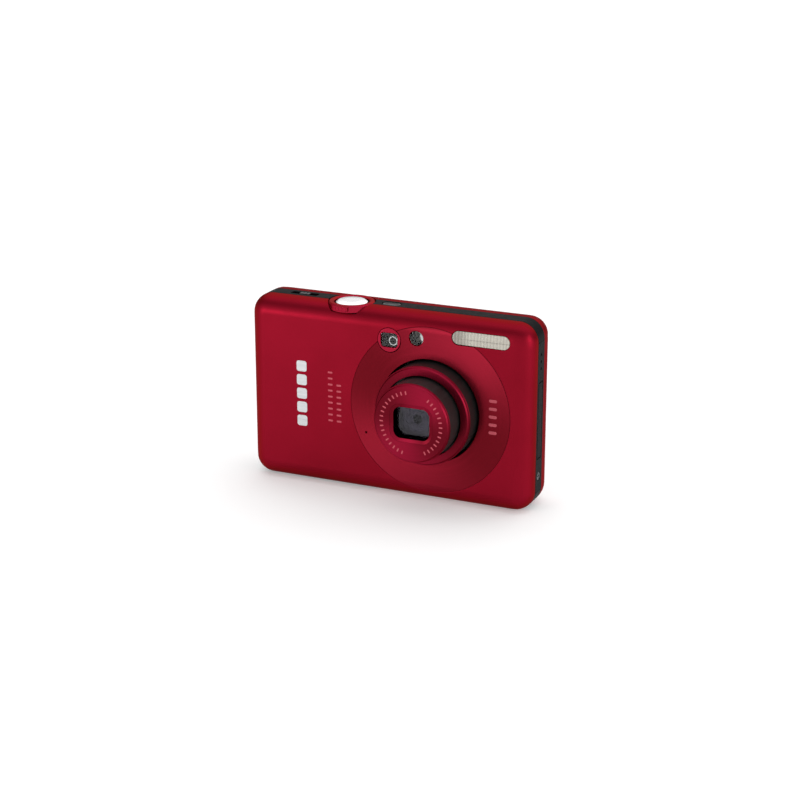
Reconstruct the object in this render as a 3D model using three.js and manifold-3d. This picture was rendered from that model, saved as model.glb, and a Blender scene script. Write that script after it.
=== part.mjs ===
// A slim compact digital camera with a retracting zoom lens, in millimetres.
// The front faces -Y, +X is to the right of someone facing the lens, and +Z is up.
// The origin is the middle of the bottom face. The lens stands out, as when switched on.
import * as THREE from "three";
import { mergeVertices } from "three/addons/utils/BufferGeometryUtils.js";
import Module from "manifold-3d";

const wasm = await Module();
wasm.setup();

// ---------- driving dimensions ----------
const WIDTH = 87;
const HEIGHT = 54.5;
const DEPTH = 18.4;
const CORNER = 5.6; // outline corners, seen from the front
const FRONT_ROUND = 5.2; // front edge, a quarter circle
const REAR_ROUND = 7.0; // rear edge, along Y; across it the edge is FRONT_ROUND deep
const SHELL = 1.0; // metal shells
const BAND_WALL = 1.2; // plastic band between the shells
const GAP = 0.3; // seam between neighbouring covers
const BAND_FRONT = -3.5;
const BAND_REAR = 1.2;

const FRONT = -DEPTH / 2;
const REAR = DEPTH / 2;
const SIDE = WIDTH / 2;
const MID_Z = HEIGHT / 2;

const LENS = { x: 13.4, z: 27 };
const PLATE = { radius: 24.2, hole: 15.05, thick: 0.45 };
const OUTER_CAP_FRONT = -14.8;
const INNER_CAP_FRONT = -21.8;
const OUTER_RADIUS = 14.3;
const INNER_RADIUS = 11.3;

const GEAR_MODULE = 0.4;
const RING_TEETH = 88;
const IDLER_TEETH = 12;
const PINION_TEETH = 8;
const IDLER_ANGLE = THREE.MathUtils.degToRad(102); // from the lens axis to the idler
const MOTOR_ANGLE = THREE.MathUtils.degToRad(25); // from the idler to the motor
const RING_PITCH = (RING_TEETH * GEAR_MODULE) / 2;

const SHUTTER = { x: -13.4, y: -2.6, top: 54.65 };
const LEVER = { inner: 5.0, outer: 6.7, recess: 7.0, bottom: 52.5, top: 54.55 };
const POWER = { x: -1.6, y: -1.2 };
const MODE = { x: -29, y: -1.2, knob: 1.6, travel: 2.4 };
const FINDER = { x: 1.2, z: 46.2, width: 4.9, height: 3.9, bezel: 3.5 };
const LAMP = { x: 9.4, z: 47.6, radius: 2.05 };
const FLASH = { x: 28.7, z: 49.3, width: 16.9, height: 3.75 };
const SCREEN = { x: 11.5, z: 24.1, width: 52.6, height: 39 };
const PAD = { x: -28.6, z: 21.5, radius: 8.2, hole: 3.9, set: 3.5 };
const SMALL_BUTTON = 2.2;
const TRIPOD = { x: 13.4, radius: 3.175, insert: 4.0, depth: 5.6 };
const BATTERY = { x: -23.25, y: 0.45, z: 22.75, width: 35.4, depth: 5.9, height: 40.3 };
const CARD = { x: -26, y: -4.65, z: 18.2, width: 24, depth: 2.1, height: 32 };
const DOOR_RIGHT = -4.6;
const FLAP = { low: 15, high: 37, front: -2.75, rear: 0.35, thick: 0.95 };

// ---------- materials ----------
const material = (color, roughness, metalness) =>
  new THREE.MeshStandardMaterial({ color, roughness, metalness });
const RED_METAL = material(0xa31230, 0.32, 0.75);
const RED_SPUN = material(0x8c1029, 0.3, 0.85);
const BLACK_PLASTIC = material(0x1d1d1f, 0.45, 0);
const BLACK_SATIN = material(0x151516, 0.6, 0.1);
const GLOSS_BLACK = material(0x0b0b0c, 0.12, 0);
const STEEL = material(0xb8babd, 0.35, 1);
const POLISHED = material(0xeeeeef, 0.12, 1);
const CAST = material(0x8a8d90, 0.6, 0.8);
const CLEAR = material(0xdfe3e6, 0.08, 0);
const LENS_GLASS = material(0x2a2438, 0.05, 0);
const BOARD = material(0x1f5a33, 0.55, 0.05);
const WHITE_GEAR = material(0xe6e2d6, 0.5, 0);
const GREY_PLASTIC = material(0x5d6064, 0.55, 0);
const BATTERY_GREY = material(0x3b3f45, 0.5, 0);

// ---------- solids ----------
const group = new THREE.Group();
group.name = "compact_camera";

// A closed geometry as a solid, with its faces turned outwards.
function solid(geometry) {
  const bare = geometry.clone();
  bare.deleteAttribute("normal");
  bare.deleteAttribute("uv");
  const merged = mergeVertices(bare, 1e-4);
  const at = merged.attributes.position;
  const corner = merged.index.array;
  const triangles = [];
  let volume = 0;
  const [a, b, c] = [new THREE.Vector3(), new THREE.Vector3(), new THREE.Vector3()];
  for (let i = 0; i < corner.length; i += 3) {
    const [p, q, r] = [corner[i], corner[i + 1], corner[i + 2]];
    if (p === q || q === r || r === p) continue;
    triangles.push(p, q, r);
    a.fromBufferAttribute(at, p);
    b.fromBufferAttribute(at, q);
    c.fromBufferAttribute(at, r);
    volume += a.dot(b.cross(c));
  }
  if (volume < 0) triangles.reverse();
  const vertProperties = new Float32Array(at.array);
  const triVerts = new Uint32Array(triangles);
  return new wasm.Manifold(new wasm.Mesh({ numProp: 3, vertProperties, triVerts }));
}

function add(name, shape, look) {
  const mesh = shape.getMesh();
  const geometry = new THREE.BufferGeometry();
  geometry.setAttribute("position", new THREE.BufferAttribute(mesh.vertProperties, 3));
  geometry.setIndex(new THREE.BufferAttribute(mesh.triVerts, 1));
  geometry.computeVertexNormals();
  const part = new THREE.Mesh(geometry, look);
  part.name = name;
  group.add(part);
}

const join = (first, ...rest) => rest.reduce((whole, next) => whole.add(next), first);
const cut = (first, ...rest) => rest.reduce((whole, next) => whole.subtract(next), first);

// Outlines lie in the XZ plane, as seen from the front.
function roundedRect(x, z, width, height, radius) {
  const [w, h] = [width / 2 - radius, height / 2 - radius];
  const outline = new THREE.Shape();
  outline.absarc(x + w, z - h, radius, -Math.PI / 2, 0);
  outline.absarc(x + w, z + h, radius, 0, Math.PI / 2);
  outline.absarc(x - w, z + h, radius, Math.PI / 2, Math.PI);
  outline.absarc(x - w, z - h, radius, Math.PI, 1.5 * Math.PI);
  outline.closePath();
  return outline;
}

const stadium = (x, z, width, height) => roundedRect(x, z, width, height, height / 2 - 0.01);

// An outline as a slab from y0 back to y1.
function slab(outline, y0, y1, curveSegments = 4) {
  const geometry = new THREE.ExtrudeGeometry(outline, {
    depth: y1 - y0,
    bevelEnabled: false,
    curveSegments,
  });
  return solid(geometry.rotateX(Math.PI / 2).translate(0, y1, 0));
}

// A profile of [radius, y] points turned about an axis along Y.
function turned(profile, x, z, segments = 28) {
  const points = profile.map(([r, y]) => new THREE.Vector2(r, y));
  return solid(new THREE.LatheGeometry([...points, points[0]], segments).translate(x, 0, z));
}

// A ring or, with no hole, a disc about an axis along Y.
function ring(x, z, outer, inner, y0, y1, segments = 28) {
  return turned([[outer, y0], [outer, y1], [inner, y1], [inner, y0]], x, z, segments);
}

// The same about an upright axis, from z0 up to z1.
function upright(x, y, outer, inner, z0, z1, segments = 24) {
  const corners = [[outer, z0], [outer, z1], [inner, z1], [inner, z0], [outer, z0]];
  const points = corners.map(([r, z]) => new THREE.Vector2(r, z));
  return solid(new THREE.LatheGeometry(points, segments).rotateX(Math.PI / 2).translate(x, y, 0));
}

function box(x0, x1, y0, y1, z0, z1) {
  const geometry = new THREE.BoxGeometry(x1 - x0, y1 - y0, z1 - z0);
  return solid(geometry.translate((x0 + x1) / 2, (y0 + y1) / 2, (z0 + z1) / 2));
}

// A rod along X.
function rod(x0, x1, y, z, radius, segments = 20) {
  const geometry = new THREE.CylinderGeometry(radius, radius, x1 - x0, segments);
  return solid(geometry.rotateZ(Math.PI / 2).translate((x0 + x1) / 2, y, z));
}

// ---------- the outer form, shared by every cover ----------
const FAR = 24; // past the body on every side

// The outline swept from y0 to y1 with both ends rounded.
function pillow(inset, alongY, y0, y1) {
  const thick = alongY - inset;
  const side = FRONT_ROUND - inset;
  const outline = roundedRect(0, MID_Z, WIDTH - 2 * inset, HEIGHT - 2 * inset, CORNER - inset);
  const geometry = new THREE.ExtrudeGeometry(outline, {
    depth: y1 - y0 - 2 * thick,
    bevelThickness: thick,
    bevelSize: side,
    bevelOffset: -side,
    bevelSegments: 3,
    curveSegments: 4,
  });
  return solid(geometry.rotateX(Math.PI / 2).translate(0, y1 - thick, 0));
}

function form(inset) {
  const fromFront = pillow(inset, FRONT_ROUND, FRONT + inset, FAR);
  const fromRear = pillow(inset, REAR_ROUND, -FAR, REAR - inset);
  return fromFront.intersect(fromRear);
}

const outside = form(0);
const skin = (thick) => outside.subtract(form(thick));
const metalSkin = skin(SHELL);
const bandSkin = skin(BAND_WALL);
const leverRecess = upright(SHUTTER.x, SHUTTER.y, LEVER.recess, 0, 52.2, FAR * 3);

const DOOR_ZONE = box(-FAR * 2, DOOR_RIGHT + GAP, -6.2, 5.2, -1, 3);
const BASE_ZONE = box(DOOR_RIGHT, 37.9, -4.9, 4.9, -1, 2);

// ---------- covers ----------
function frontCover() {
  const plateSeat = skin(PLATE.thick + 0.1).intersect(
    ring(LENS.x, LENS.z, PLATE.radius + 0.25, 0, FRONT - 1, 0, 40),
  );
  const half = metalSkin.intersect(box(-FAR * 2, FAR * 2, -FAR, BAND_FRONT - GAP, -1, 60));
  return cut(
    half,
    plateSeat,
    ring(LENS.x, LENS.z, PLATE.hole + 0.3, 0, -FAR, 0, 40),
    ring(FINDER.x, FINDER.z, FINDER.bezel + GAP, 0, -FAR, 0, 24),
    ring(LAMP.x, LAMP.z, LAMP.radius + 0.25, 0, -FAR, 0, 20),
    slab(stadium(FLASH.x, FLASH.z, FLASH.width + 0.5, FLASH.height + 0.5), -FAR, 0),
    leverRecess,
    DOOR_ZONE,
    BASE_ZONE,
  );
}

function rearCover() {
  const half = metalSkin.intersect(box(-FAR * 2, FAR * 2, BAND_REAR + GAP, FAR, -1, 60));
  const { x, z, width, height } = SCREEN;
  return cut(
    half,
    slab(roundedRect(x, z, width + 0.6, height + 0.6, 1.3), 4, FAR, 3),
    slab(roundedRect(FINDER.x, FINDER.z, 6.2, 4.4, 1), 4, FAR, 3),
    ring(PAD.x, PAD.z, PAD.radius + GAP, 0, 4, FAR),
    ...SMALL_BUTTONS.map((b) => ring(b.x, b.z, SMALL_BUTTON + 0.25, 0, 4, FAR, 20)),
    leverRecess,
    DOOR_ZONE,
    BASE_ZONE,
  );
}

function topCover() {
  const slot = MODE.knob + MODE.travel + GAP;
  const band = bandSkin.intersect(box(-FAR * 2, FAR * 2, BAND_FRONT, BAND_REAR, 48.9, 60));
  const rib = box(SHUTTER.x - 7.8, SHUTTER.x + 7.8, BAND_FRONT, BAND_REAR, 51.6, 53.5);
  const seat = upright(SHUTTER.x, SHUTTER.y, LEVER.outer + 0.1, 0, 51.6, 52.3);
  return cut(
    join(band, rib, seat.intersect(form(SHELL + GAP))),
    leverRecess,
    upright(SHUTTER.x, SHUTTER.y, 1.9, 0, 50, 60, 16),
    powerShape(5.8, 3.6, 50, 60),
    box(MODE.x - slot, MODE.x + slot, MODE.y - 1.2, MODE.y + 1.2, 50, 60),
  );
}

function leftSideCover() {
  const band = bandSkin.intersect(box(-FAR * 2, -30, BAND_FRONT, BAND_REAR, 3.3, 48.6));
  const cup = box(-SIDE + 0.6, -39.9, -3.4, 1.1, 43.95, 48.55);
  return cut(
    join(band, cup),
    box(-50, -40.5, -2.7, 0.4, 44.6, 47.9),
    upright(STRAP.x, STRAP.y, STRAP.radius + 0.12, 0, 44.2, 48.3, 12),
    rod(-46, -40, SCREW_LEFT.y, SCREW_LEFT.z, 0.75, 12),
    rod(-46, -SIDE + 0.75, SCREW_LEFT.y, SCREW_LEFT.z, 1.3, 16),
  );
}

function rightSideCover() {
  const band = bandSkin.intersect(box(30, FAR * 2, BAND_FRONT, BAND_REAR, 5.3, 48.6));
  const holes = [41, 43, 45].map((z) => rod(40, 46, BAND_FRONT + 2.3, z, 0.45, 10));
  return cut(
    band,
    box(40, 46, FLAP.front - 0.25, FLAP.rear + 0.25, FLAP.low - GAP, FLAP.high + GAP),
    rod(40, 46, SCREW_RIGHT.y, SCREW_RIGHT.z, 0.75, 12),
    rod(SIDE - 0.75, 46, SCREW_RIGHT.y, SCREW_RIGHT.z, 1.3, 16),
    ...holes,
  );
}

function bottomCover() {
  const band = bandSkin.intersect(box(DOOR_RIGHT + GAP, FAR * 2, BAND_FRONT, BAND_REAR, -1, 5));
  const base = bandSkin.intersect(box(DOOR_RIGHT + GAP, 37.6, -4.6, 4.6, -1, 1.3));
  return cut(join(band, base), upright(TRIPOD.x, 0, TRIPOD.insert + 0.2, 0, -1, 5));
}

function lensRingPlate() {
  const disc = skin(PLATE.thick).intersect(
    ring(LENS.x, LENS.z, PLATE.radius, PLATE.hole, FRONT - 1, 0, 40),
  );
  return cut(
    disc,
    ring(FINDER.x, FINDER.z, FINDER.bezel + GAP, 0, -FAR, 0, 24),
    ring(LAMP.x, LAMP.z, LAMP.radius + 0.25, 0, -FAR, 0, 20),
    slab(stadium(FLASH.x, FLASH.z, FLASH.width + 0.5, FLASH.height + 0.5), -FAR, 0),
    ring(-6, 18, 0.35, 0, -FAR, 0, 8),
  );
}

// ---------- frame and boards ----------
function chassis() {
  return cut(
    slab(roundedRect(0, 27.1, 81.6, 47.4, 4.2), 4.1, 4.4),
    slab(roundedRect(FINDER.x, FINDER.z, 7, 5.8, 0.6), 0, FAR, 2),
    slab(roundedRect(LENS.x, LENS.z, 13, 11, 0.8), 0, FAR, 2),
  );
}

function mainBoard() {
  return cut(
    slab(roundedRect(0, 27.4, 80.4, 45.6, 4), 4.7, 5.4),
    slab(roundedRect(FINDER.x, 48.5, 7, 10.4, 0.6), 0, FAR, 2),
    ring(-36, 46, 1.2, 0, 0, FAR, 12),
    ring(36, 9, 1.2, 0, 0, FAR, 12),
  );
}

// ---------- battery and card ----------
function batteryHolder() {
  const wall = 0.35;
  const side = BATTERY.width / 2 + 0.25;
  const card = CARD.width / 2 + GAP;
  const shell = join(
    box(BATTERY.x - side - wall, BATTERY.x + side + wall, -3.2, 3.8, 5, 43.7),
    box(CARD.x - card - 0.4, CARD.x + card + 0.4, -6.3, -3, 5, 36),
  );
  return cut(
    shell,
    box(BATTERY.x - side, BATTERY.x + side, -2.75, 3.55, 0, 43.2),
    box(CARD.x - card, CARD.x + card, -5.95, -3.35, 0, 34.7),
  );
}

function batteryPack() {
  const { x, y, z, width, depth, height } = BATTERY;
  return slab(roundedRect(x, z, width, height, 1.4), y - depth / 2, y + depth / 2, 3);
}

function memoryCard() {
  const { x, y, z, width, depth, height } = CARD;
  const body = box(x - width / 2, x + width / 2, y - depth / 2, y + depth / 2,
    z - height / 2, z + height / 2);
  const corner = new THREE.BoxGeometry(6, 4, 6).rotateY(Math.PI / 4);
  return body.subtract(solid(corner.translate(x - width / 2, y, z + height / 2)));
}

function batteryLock() {
  return join(
    box(-13.4, -10.2, -4.9, -3, 2.05, 4.7),
    box(-13.4, -10.2, -4.9, -1.3, 2.05, 2.4),
  );
}

const HINGE = { x: -5.45, z: 0.85, knuckle: 0.8 };

function alongY(x, z, radius, y0, y1, segments = 16) {
  return ring(x, z, radius, 0, y0, y1, segments);
}

function batteryDoor() {
  const right = HINGE.x + 0.7; // clears the bottom cover as the door swings
  const plate = bandSkin.intersect(box(-FAR * 2, right, -5.9, 4.9, -1, 2.7));
  return cut(
    join(plate, alongY(HINGE.x, HINGE.z, HINGE.knuckle, -2.9, 2.9)),
    box(-6.9, 0, -4.5, -3, -1, 3),
    box(-6.9, 0, 3, 4.5, -1, 3),
    alongY(HINGE.x, HINGE.z, 0.5, -4, 4),
  );
}

function doorSlider() {
  const plate = box(-7.8, DOOR_RIGHT - 0.3, -4.2, 4.2, 1.95, 2.3);
  const ears = [-4.2, 3.2].map((y) => box(-6.2, DOOR_RIGHT - 0.3, y, y + 1, 0.25, 2));
  return join(plate, ...ears, alongY(HINGE.x, HINGE.z, 0.4, -4.1, 4.1));
}

function tripodSocket() {
  return cut(
    upright(TRIPOD.x, 0, TRIPOD.insert, 0, 0, 7),
    upright(TRIPOD.x, 0, TRIPOD.radius, 0, -1, TRIPOD.depth),
  );
}

// ---------- lens ----------
const idler = {
  x: LENS.x + (RING_PITCH + (IDLER_TEETH * GEAR_MODULE) / 2) * Math.cos(IDLER_ANGLE),
  z: LENS.z + (RING_PITCH + (IDLER_TEETH * GEAR_MODULE) / 2) * Math.sin(IDLER_ANGLE),
};
const motorReach = ((IDLER_TEETH + PINION_TEETH) * GEAR_MODULE) / 2;
const motor = {
  x: idler.x + motorReach * Math.cos(MOTOR_ANGLE),
  z: idler.z + motorReach * Math.sin(MOTOR_ANGLE),
};

// Slim trapezoid teeth on part of a circle. A tooth's middle lies at the angle `phase`.
function gearOutline(x, z, teeth, phase, first = 0, last = teeth - 1) {
  const pitch = (teeth * GEAR_MODULE) / 2;
  const [root, tip] = [pitch - 1.1 * GEAR_MODULE, pitch + 0.8 * GEAR_MODULE];
  const step = (2 * Math.PI) / teeth;
  const halfRoot = (0.85 * GEAR_MODULE) / root;
  const halfTip = (0.26 * GEAR_MODULE) / tip;
  const outline = [];
  const at = (radius, angle) =>
    outline.push(new THREE.Vector2(x + radius * Math.cos(angle), z + radius * Math.sin(angle)));
  for (let i = first; i <= last; i++) {
    const middle = phase + i * step;
    at(root, middle - halfRoot);
    at(tip, middle - halfTip);
    at(tip, middle + halfTip);
    at(root, middle + halfRoot);
  }
  const whole = last - first + 1 === teeth;
  if (!whole) at(root * 0.97, phase + last * step);
  if (!whole) at(root * 0.97, phase + first * step);
  return new THREE.Shape(outline);
}

// The drive ring's teeth, counted from the one in mesh with the idler.
function driveRing() {
  const [y0, y1] = [-7.4, -0.4];
  const body = ring(LENS.x, LENS.z, RING_PITCH - 1.1 * GEAR_MODULE, 16.5, y0, y1, 40);
  const sector = slab(gearOutline(LENS.x, LENS.z, RING_TEETH, IDLER_ANGLE, -3, 14), -2.8, -0.9);
  const clear = ring(LENS.x, LENS.z, 16.8, 0, -FAR, FAR, 40);
  return join(body, sector.subtract(clear));
}

function idlerGear() {
  const meshPhase = IDLER_ANGLE + Math.PI + Math.PI / IDLER_TEETH;
  const teeth = slab(gearOutline(idler.x, idler.z, IDLER_TEETH, meshPhase), -2.9, -0.8);
  return teeth.subtract(alongY(idler.x, idler.z, 0.62, -FAR, FAR, 12));
}

// In mesh with the idler, whose teeth are turned by meshPhase.
function motorPinion() {
  const idlerStep = (2 * Math.PI) / IDLER_TEETH;
  const idlerPhase = IDLER_ANGLE + Math.PI + idlerStep / 2 - MOTOR_ANGLE;
  const past = idlerPhase - idlerStep * Math.round(idlerPhase / idlerStep);
  const halfStep = Math.PI / PINION_TEETH;
  const phase = MOTOR_ANGLE + Math.PI + halfStep - (past * IDLER_TEETH) / PINION_TEETH;
  const teeth = slab(gearOutline(motor.x, motor.z, PINION_TEETH, phase), -2.9, -0.8);
  return join(teeth, alongY(motor.x, motor.z, 0.4, -4.6, -2.8, 12));
}

function zoomMotor() {
  const can = alongY(motor.x, motor.z, 3, -7.2, -3.2, 24);
  return can.subtract(alongY(motor.x, motor.z, 0.6, -5, 1, 12));
}

// Fixed tube and rear flange, with the idler's axle.
function lensBase() {
  const tube = ring(LENS.x, LENS.z, 16.2, 15.2, -8, 2, 36);
  const flange = ring(LENS.x, LENS.z, 18, 0, 1.9, 3.4, 36);
  const lugs = [222, 330].map((degrees) => {
    const angle = THREE.MathUtils.degToRad(degrees);
    return alongY(LENS.x + 18.6 * Math.cos(angle), LENS.z + 18.6 * Math.sin(angle), 2, 1.9, 3.4);
  });
  const axle = alongY(idler.x, idler.z, 0.45, -3.2, 2.2, 12);
  const arm = alongY(idler.x, idler.z, 2.4, 1.9, 3.4);
  const { x, z } = LENS;
  return join(tube, flange, ...lugs, arm, axle).subtract(
    slab(roundedRect(x, z, 12, 10, 0.6), 0, FAR, 2),
  );
}

function imageSensor() {
  const { x, z } = LENS;
  const glass = slab(roundedRect(x, z, 8.6, 6.8, 0.4), 1.9, 2.3, 2);
  return join(glass, slab(roundedRect(x, z, 11.4, 9.4, 0.4), 2.2, 3.3, 2));
}

function outerBarrel() {
  const front = OUTER_CAP_FRONT + 0.5;
  const [tube, lip] = [13.2, INNER_RADIUS + 0.45];
  return turned(
    [
      [OUTER_RADIUS, front], [OUTER_RADIUS, -4.6], [tube, -4.6],
      [tube, front + 0.6], [lip, front + 0.6], [lip, front],
    ],
    LENS.x, LENS.z, 36,
  );
}

function outerBarrelCap() {
  return ring(LENS.x, LENS.z, OUTER_RADIUS + 0.1, INNER_RADIUS + 0.45, OUTER_CAP_FRONT,
    OUTER_CAP_FRONT + 0.4, 36);
}

function innerBarrel() {
  const front = INNER_CAP_FRONT + 0.5;
  const [bore, flange] = [10.2, 12.9];
  return turned(
    [
      [INNER_RADIUS, front], [INNER_RADIUS, -12.4], [flange, -12.4],
      [flange, -11.5], [bore, -11.5], [bore, front],
    ],
    LENS.x, LENS.z, 36,
  );
}

const WINDOW = { width: 10.8, height: 9, radius: 2.2 };

function innerBarrelCap() {
  const front = INNER_CAP_FRONT;
  const disc = turned(
    [[0, front], [INNER_RADIUS - 0.5, front], [INNER_RADIUS, front + 0.25],
      [INNER_RADIUS, front + 0.4], [0, front + 0.4]],
    LENS.x, LENS.z, 36,
  );
  const { width, height, radius } = WINDOW;
  return disc.subtract(slab(roundedRect(LENS.x, LENS.z, width, height, radius), -FAR, 0));
}

// A segment of a disc, above or below the opening.
function barrierBlade(up, y) {
  const edge = WINDOW.height / 2 + 0.25;
  const z = up ? LENS.z + edge : LENS.z - edge - 12;
  const half = box(LENS.x - 12, LENS.x + 12, -FAR, 0, z, z + 12);
  return ring(LENS.x, LENS.z, 9.9, 0, y, y + 0.25, 28).intersect(half);
}

function lensCell(outer, inner, y0, y1) {
  return ring(LENS.x, LENS.z, outer, inner, y0, y1, 28);
}

// A biconvex lens: its rim is `edge` thick about the plane y, and each face bulges by `bulge`.
function element(radius, y, edge, bulge) {
  const steps = 3;
  const profile = [];
  for (let i = 0; i <= steps; i++) {
    const r = (radius * i) / steps;
    profile.push([r, y - edge / 2 - bulge * (1 - (i / steps) ** 2)]);
  }
  for (let i = steps; i >= 0; i--) {
    const r = (radius * i) / steps;
    profile.push([r, y + edge / 2 + bulge * (1 - (i / steps) ** 2)]);
  }
  return turned(profile, LENS.x, LENS.z, 20);
}

// ---------- flash, finder and screen ----------
function reflector() {
  const { x, z, width, height } = FLASH;
  return cut(
    slab(roundedRect(x, z, width - 0.6, height - 0.5, 1.2), -7.7, -4.6, 3),
    slab(roundedRect(x, z, width - 1.6, height - 1.3, 0.9), -9, -5.2, 3),
  );
}

function finderTunnel() {
  return cut(
    slab(roundedRect(FINDER.x, FINDER.z, 6, 5, 0.4), -7.9, 7.9, 2),
    slab(roundedRect(FINDER.x, FINDER.z, 5, 4, 0.3), -FAR, FAR, 2),
  );
}

function finderBezel() {
  const { x, z, width, height, bezel } = FINDER;
  return ring(x, z, bezel, 0, -9.3, -8.3, 32).subtract(
    slab(roundedRect(x, z, width + 0.2, height + 0.2, 0.9), -FAR, 0, 3),
  );
}

// ---------- buttons ----------
const SMALL_BUTTONS = [
  { name: "playback_button", x: -34.5, z: 35.4 },
  { name: "display_button", x: -34.5, z: 7.8 },
  { name: "menu_button", x: -22.7, z: 7.8 },
];
const STRAP = { x: -42.5, y: -1.15, radius: 0.55 };
const SCREW_LEFT = { y: -1.15, z: 8 };
const SCREW_RIGHT = { y: -1.15, z: 9.5 };

function powerShape(width, depth, z0, z1) {
  const outline = stadium(POWER.x, POWER.y, width, depth);
  const geometry = new THREE.ExtrudeGeometry(outline, {
    depth: z1 - z0,
    bevelEnabled: false,
    curveSegments: 6,
  });
  return solid(geometry.translate(0, 0, z0));
}

function shutterButton() {
  const { x, y, top } = SHUTTER;
  const profile = [[0, 51], [1.5, 51], [1.5, 53.2], [4.6, 53.2], [4.6, top - 0.35], [3.4, top], [0, top]];
  const points = profile.map(([r, z]) => new THREE.Vector2(r, z));
  return solid(new THREE.LatheGeometry(points, 24).rotateX(Math.PI / 2).translate(x, y, 0));
}

// A ring round the shutter button with a ribbed tab at its front.
function zoomLever() {
  const { x, y } = SHUTTER;
  const rim = upright(x, y, LEVER.outer, LEVER.inner, LEVER.bottom, LEVER.top, 32);
  const tab = [-1.5, -0.3, 0.9].map((side) =>
    box(x + side, x + side + 0.8, y - LEVER.outer - 0.75, y - LEVER.outer + 0.5, 53.1, 54.3),
  );
  const foot = box(x - 1.8, x + 2, y - LEVER.outer - 0.4, y - LEVER.outer + 0.5, 53, 54.4);
  return join(rim, foot, ...tab);
}

function modeSwitch() {
  return join(
    box(MODE.x - 5.2, MODE.x + 5.2, MODE.y - 1.8, MODE.y + 1.8, 52.3, 53),
    box(MODE.x - MODE.knob, MODE.x + MODE.knob, MODE.y - 0.9, MODE.y + 0.9, 52.9, 54.6),
  );
}

function powerButton() {
  return join(powerShape(5.4, 3.2, 52.9, 54.4), powerShape(2, 1.2, 52, 53));
}

// ---------- terminals, strap and screws ----------
function terminalBlock() {
  return cut(
    box(37, 42, -2.9, 0.6, 15.4, 36.6),
    box(39, 43, -2.5, 0.2, 17, 23.8),
    box(39, 43, -2.5, 0.2, 25.4, 35.4),
  );
}

function screw(x, direction, y, z) {
  const head = rod(Math.min(x, x - 0.6 * direction), Math.max(x, x - 0.6 * direction), y, z, 1.1);
  const inner = x - 1.5 * direction;
  const shank = rod(Math.min(x, inner), Math.max(x, inner), y, z, 0.6, 12);
  const slot = 0.15;
  return cut(
    join(head, shank),
    box(x - 0.3, x + 0.3, y - slot, y + slot, z - 0.8, z + 0.8),
    box(x - 0.3, x + 0.3, y - 0.8, y + 0.8, z - slot, z + slot),
  );
}

// ---------- assembly ----------
add("front_cover", frontCover(), RED_METAL);
add("rear_cover", rearCover(), RED_METAL);
add("top_cover", topCover(), BLACK_PLASTIC);
add("left_side_cover", leftSideCover(), BLACK_PLASTIC);
add("right_side_cover", rightSideCover(), BLACK_PLASTIC);
add("bottom_cover", bottomCover(), BLACK_PLASTIC);
add("lens_ring_plate", lensRingPlate(), RED_SPUN);

add("chassis", chassis(), CAST);
add("main_board", mainBoard(), BOARD);

add("battery_holder", batteryHolder(), GREY_PLASTIC);
add("battery", batteryPack(), BATTERY_GREY);
add("battery_lock", batteryLock(), WHITE_GEAR);
add("battery_door", batteryDoor(), BLACK_PLASTIC);
add("door_slider", doorSlider(), STEEL);
add("memory_card", memoryCard(), GREY_PLASTIC);
add("tripod_socket", tripodSocket(), STEEL);

add("lens_base", lensBase(), BLACK_SATIN);
add("image_sensor", imageSensor(), LENS_GLASS);
add("drive_ring", driveRing(), GREY_PLASTIC);
add("idler_gear", idlerGear(), WHITE_GEAR);
add("motor_pinion", motorPinion(), WHITE_GEAR);
add("zoom_motor", zoomMotor(), STEEL);
add("outer_barrel", outerBarrel(), BLACK_SATIN);
add("outer_barrel_cap", outerBarrelCap(), RED_METAL);
add("inner_barrel", innerBarrel(), BLACK_SATIN);
add("inner_barrel_cap", innerBarrelCap(), RED_METAL);
add("barrier_blade_upper", barrierBlade(true, -21.3), BLACK_SATIN);
add("barrier_blade_lower", barrierBlade(false, -21.3), BLACK_SATIN);
add("front_lens_cell", lensCell(10, 8.7, -20.6, -16.6), BLACK_SATIN);
add("front_lens", element(8.5, -18.6, 1.4, 0.9), LENS_GLASS);
add("zoom_lens_cell", lensCell(9.6, 5.7, -10.4, -6.7), BLACK_SATIN);
add("zoom_lens", element(5.5, -8.6, 1.2, 0.6), LENS_GLASS);
add("focus_carriage", lensCell(8.8, 5.5, 0.3, 1.3), BLACK_SATIN);
add("focus_lens", element(5.3, 0.8, 0.5, 0.2), LENS_GLASS);

add("lcd_panel", slab(roundedRect(SCREEN.x, SCREEN.z, 51.6, 38.6, 0.6), 5.7, 7.9, 2), CAST);
add(
  "lcd_window",
  skin(SHELL - 0.1).intersect(
    slab(roundedRect(SCREEN.x, SCREEN.z, SCREEN.width, SCREEN.height, 1), 4, FAR, 3),
  ),
  GLOSS_BLACK,
);
add(
  "flash_window",
  skin(SHELL - 0.1).intersect(
    slab(stadium(FLASH.x, FLASH.z, FLASH.width, FLASH.height), -FAR, 0, 6),
  ),
  CLEAR,
);
add("flash_reflector", reflector(), POLISHED);
add("flash_tube", rod(FLASH.x - 7.3, FLASH.x + 7.3, -6.4, FLASH.z, 0.7, 14), CLEAR);
add("flash_capacitor", rod(26.5, 40.5, -3.2, 6.6, 3.2, 24), GLOSS_BLACK);
add("viewfinder_bezel", finderBezel(), RED_METAL);
add(
  "viewfinder_window",
  slab(roundedRect(FINDER.x, FINDER.z, FINDER.width, FINDER.height, 0.8), -9.1, -8.5, 3),
  CLEAR,
);
add("viewfinder_tunnel", finderTunnel(), BLACK_SATIN);
add("viewfinder_eyepiece", slab(roundedRect(FINDER.x, FINDER.z, 5.7, 3.9, 0.8), 8.3, 9.1, 3), CLEAR);
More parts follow.
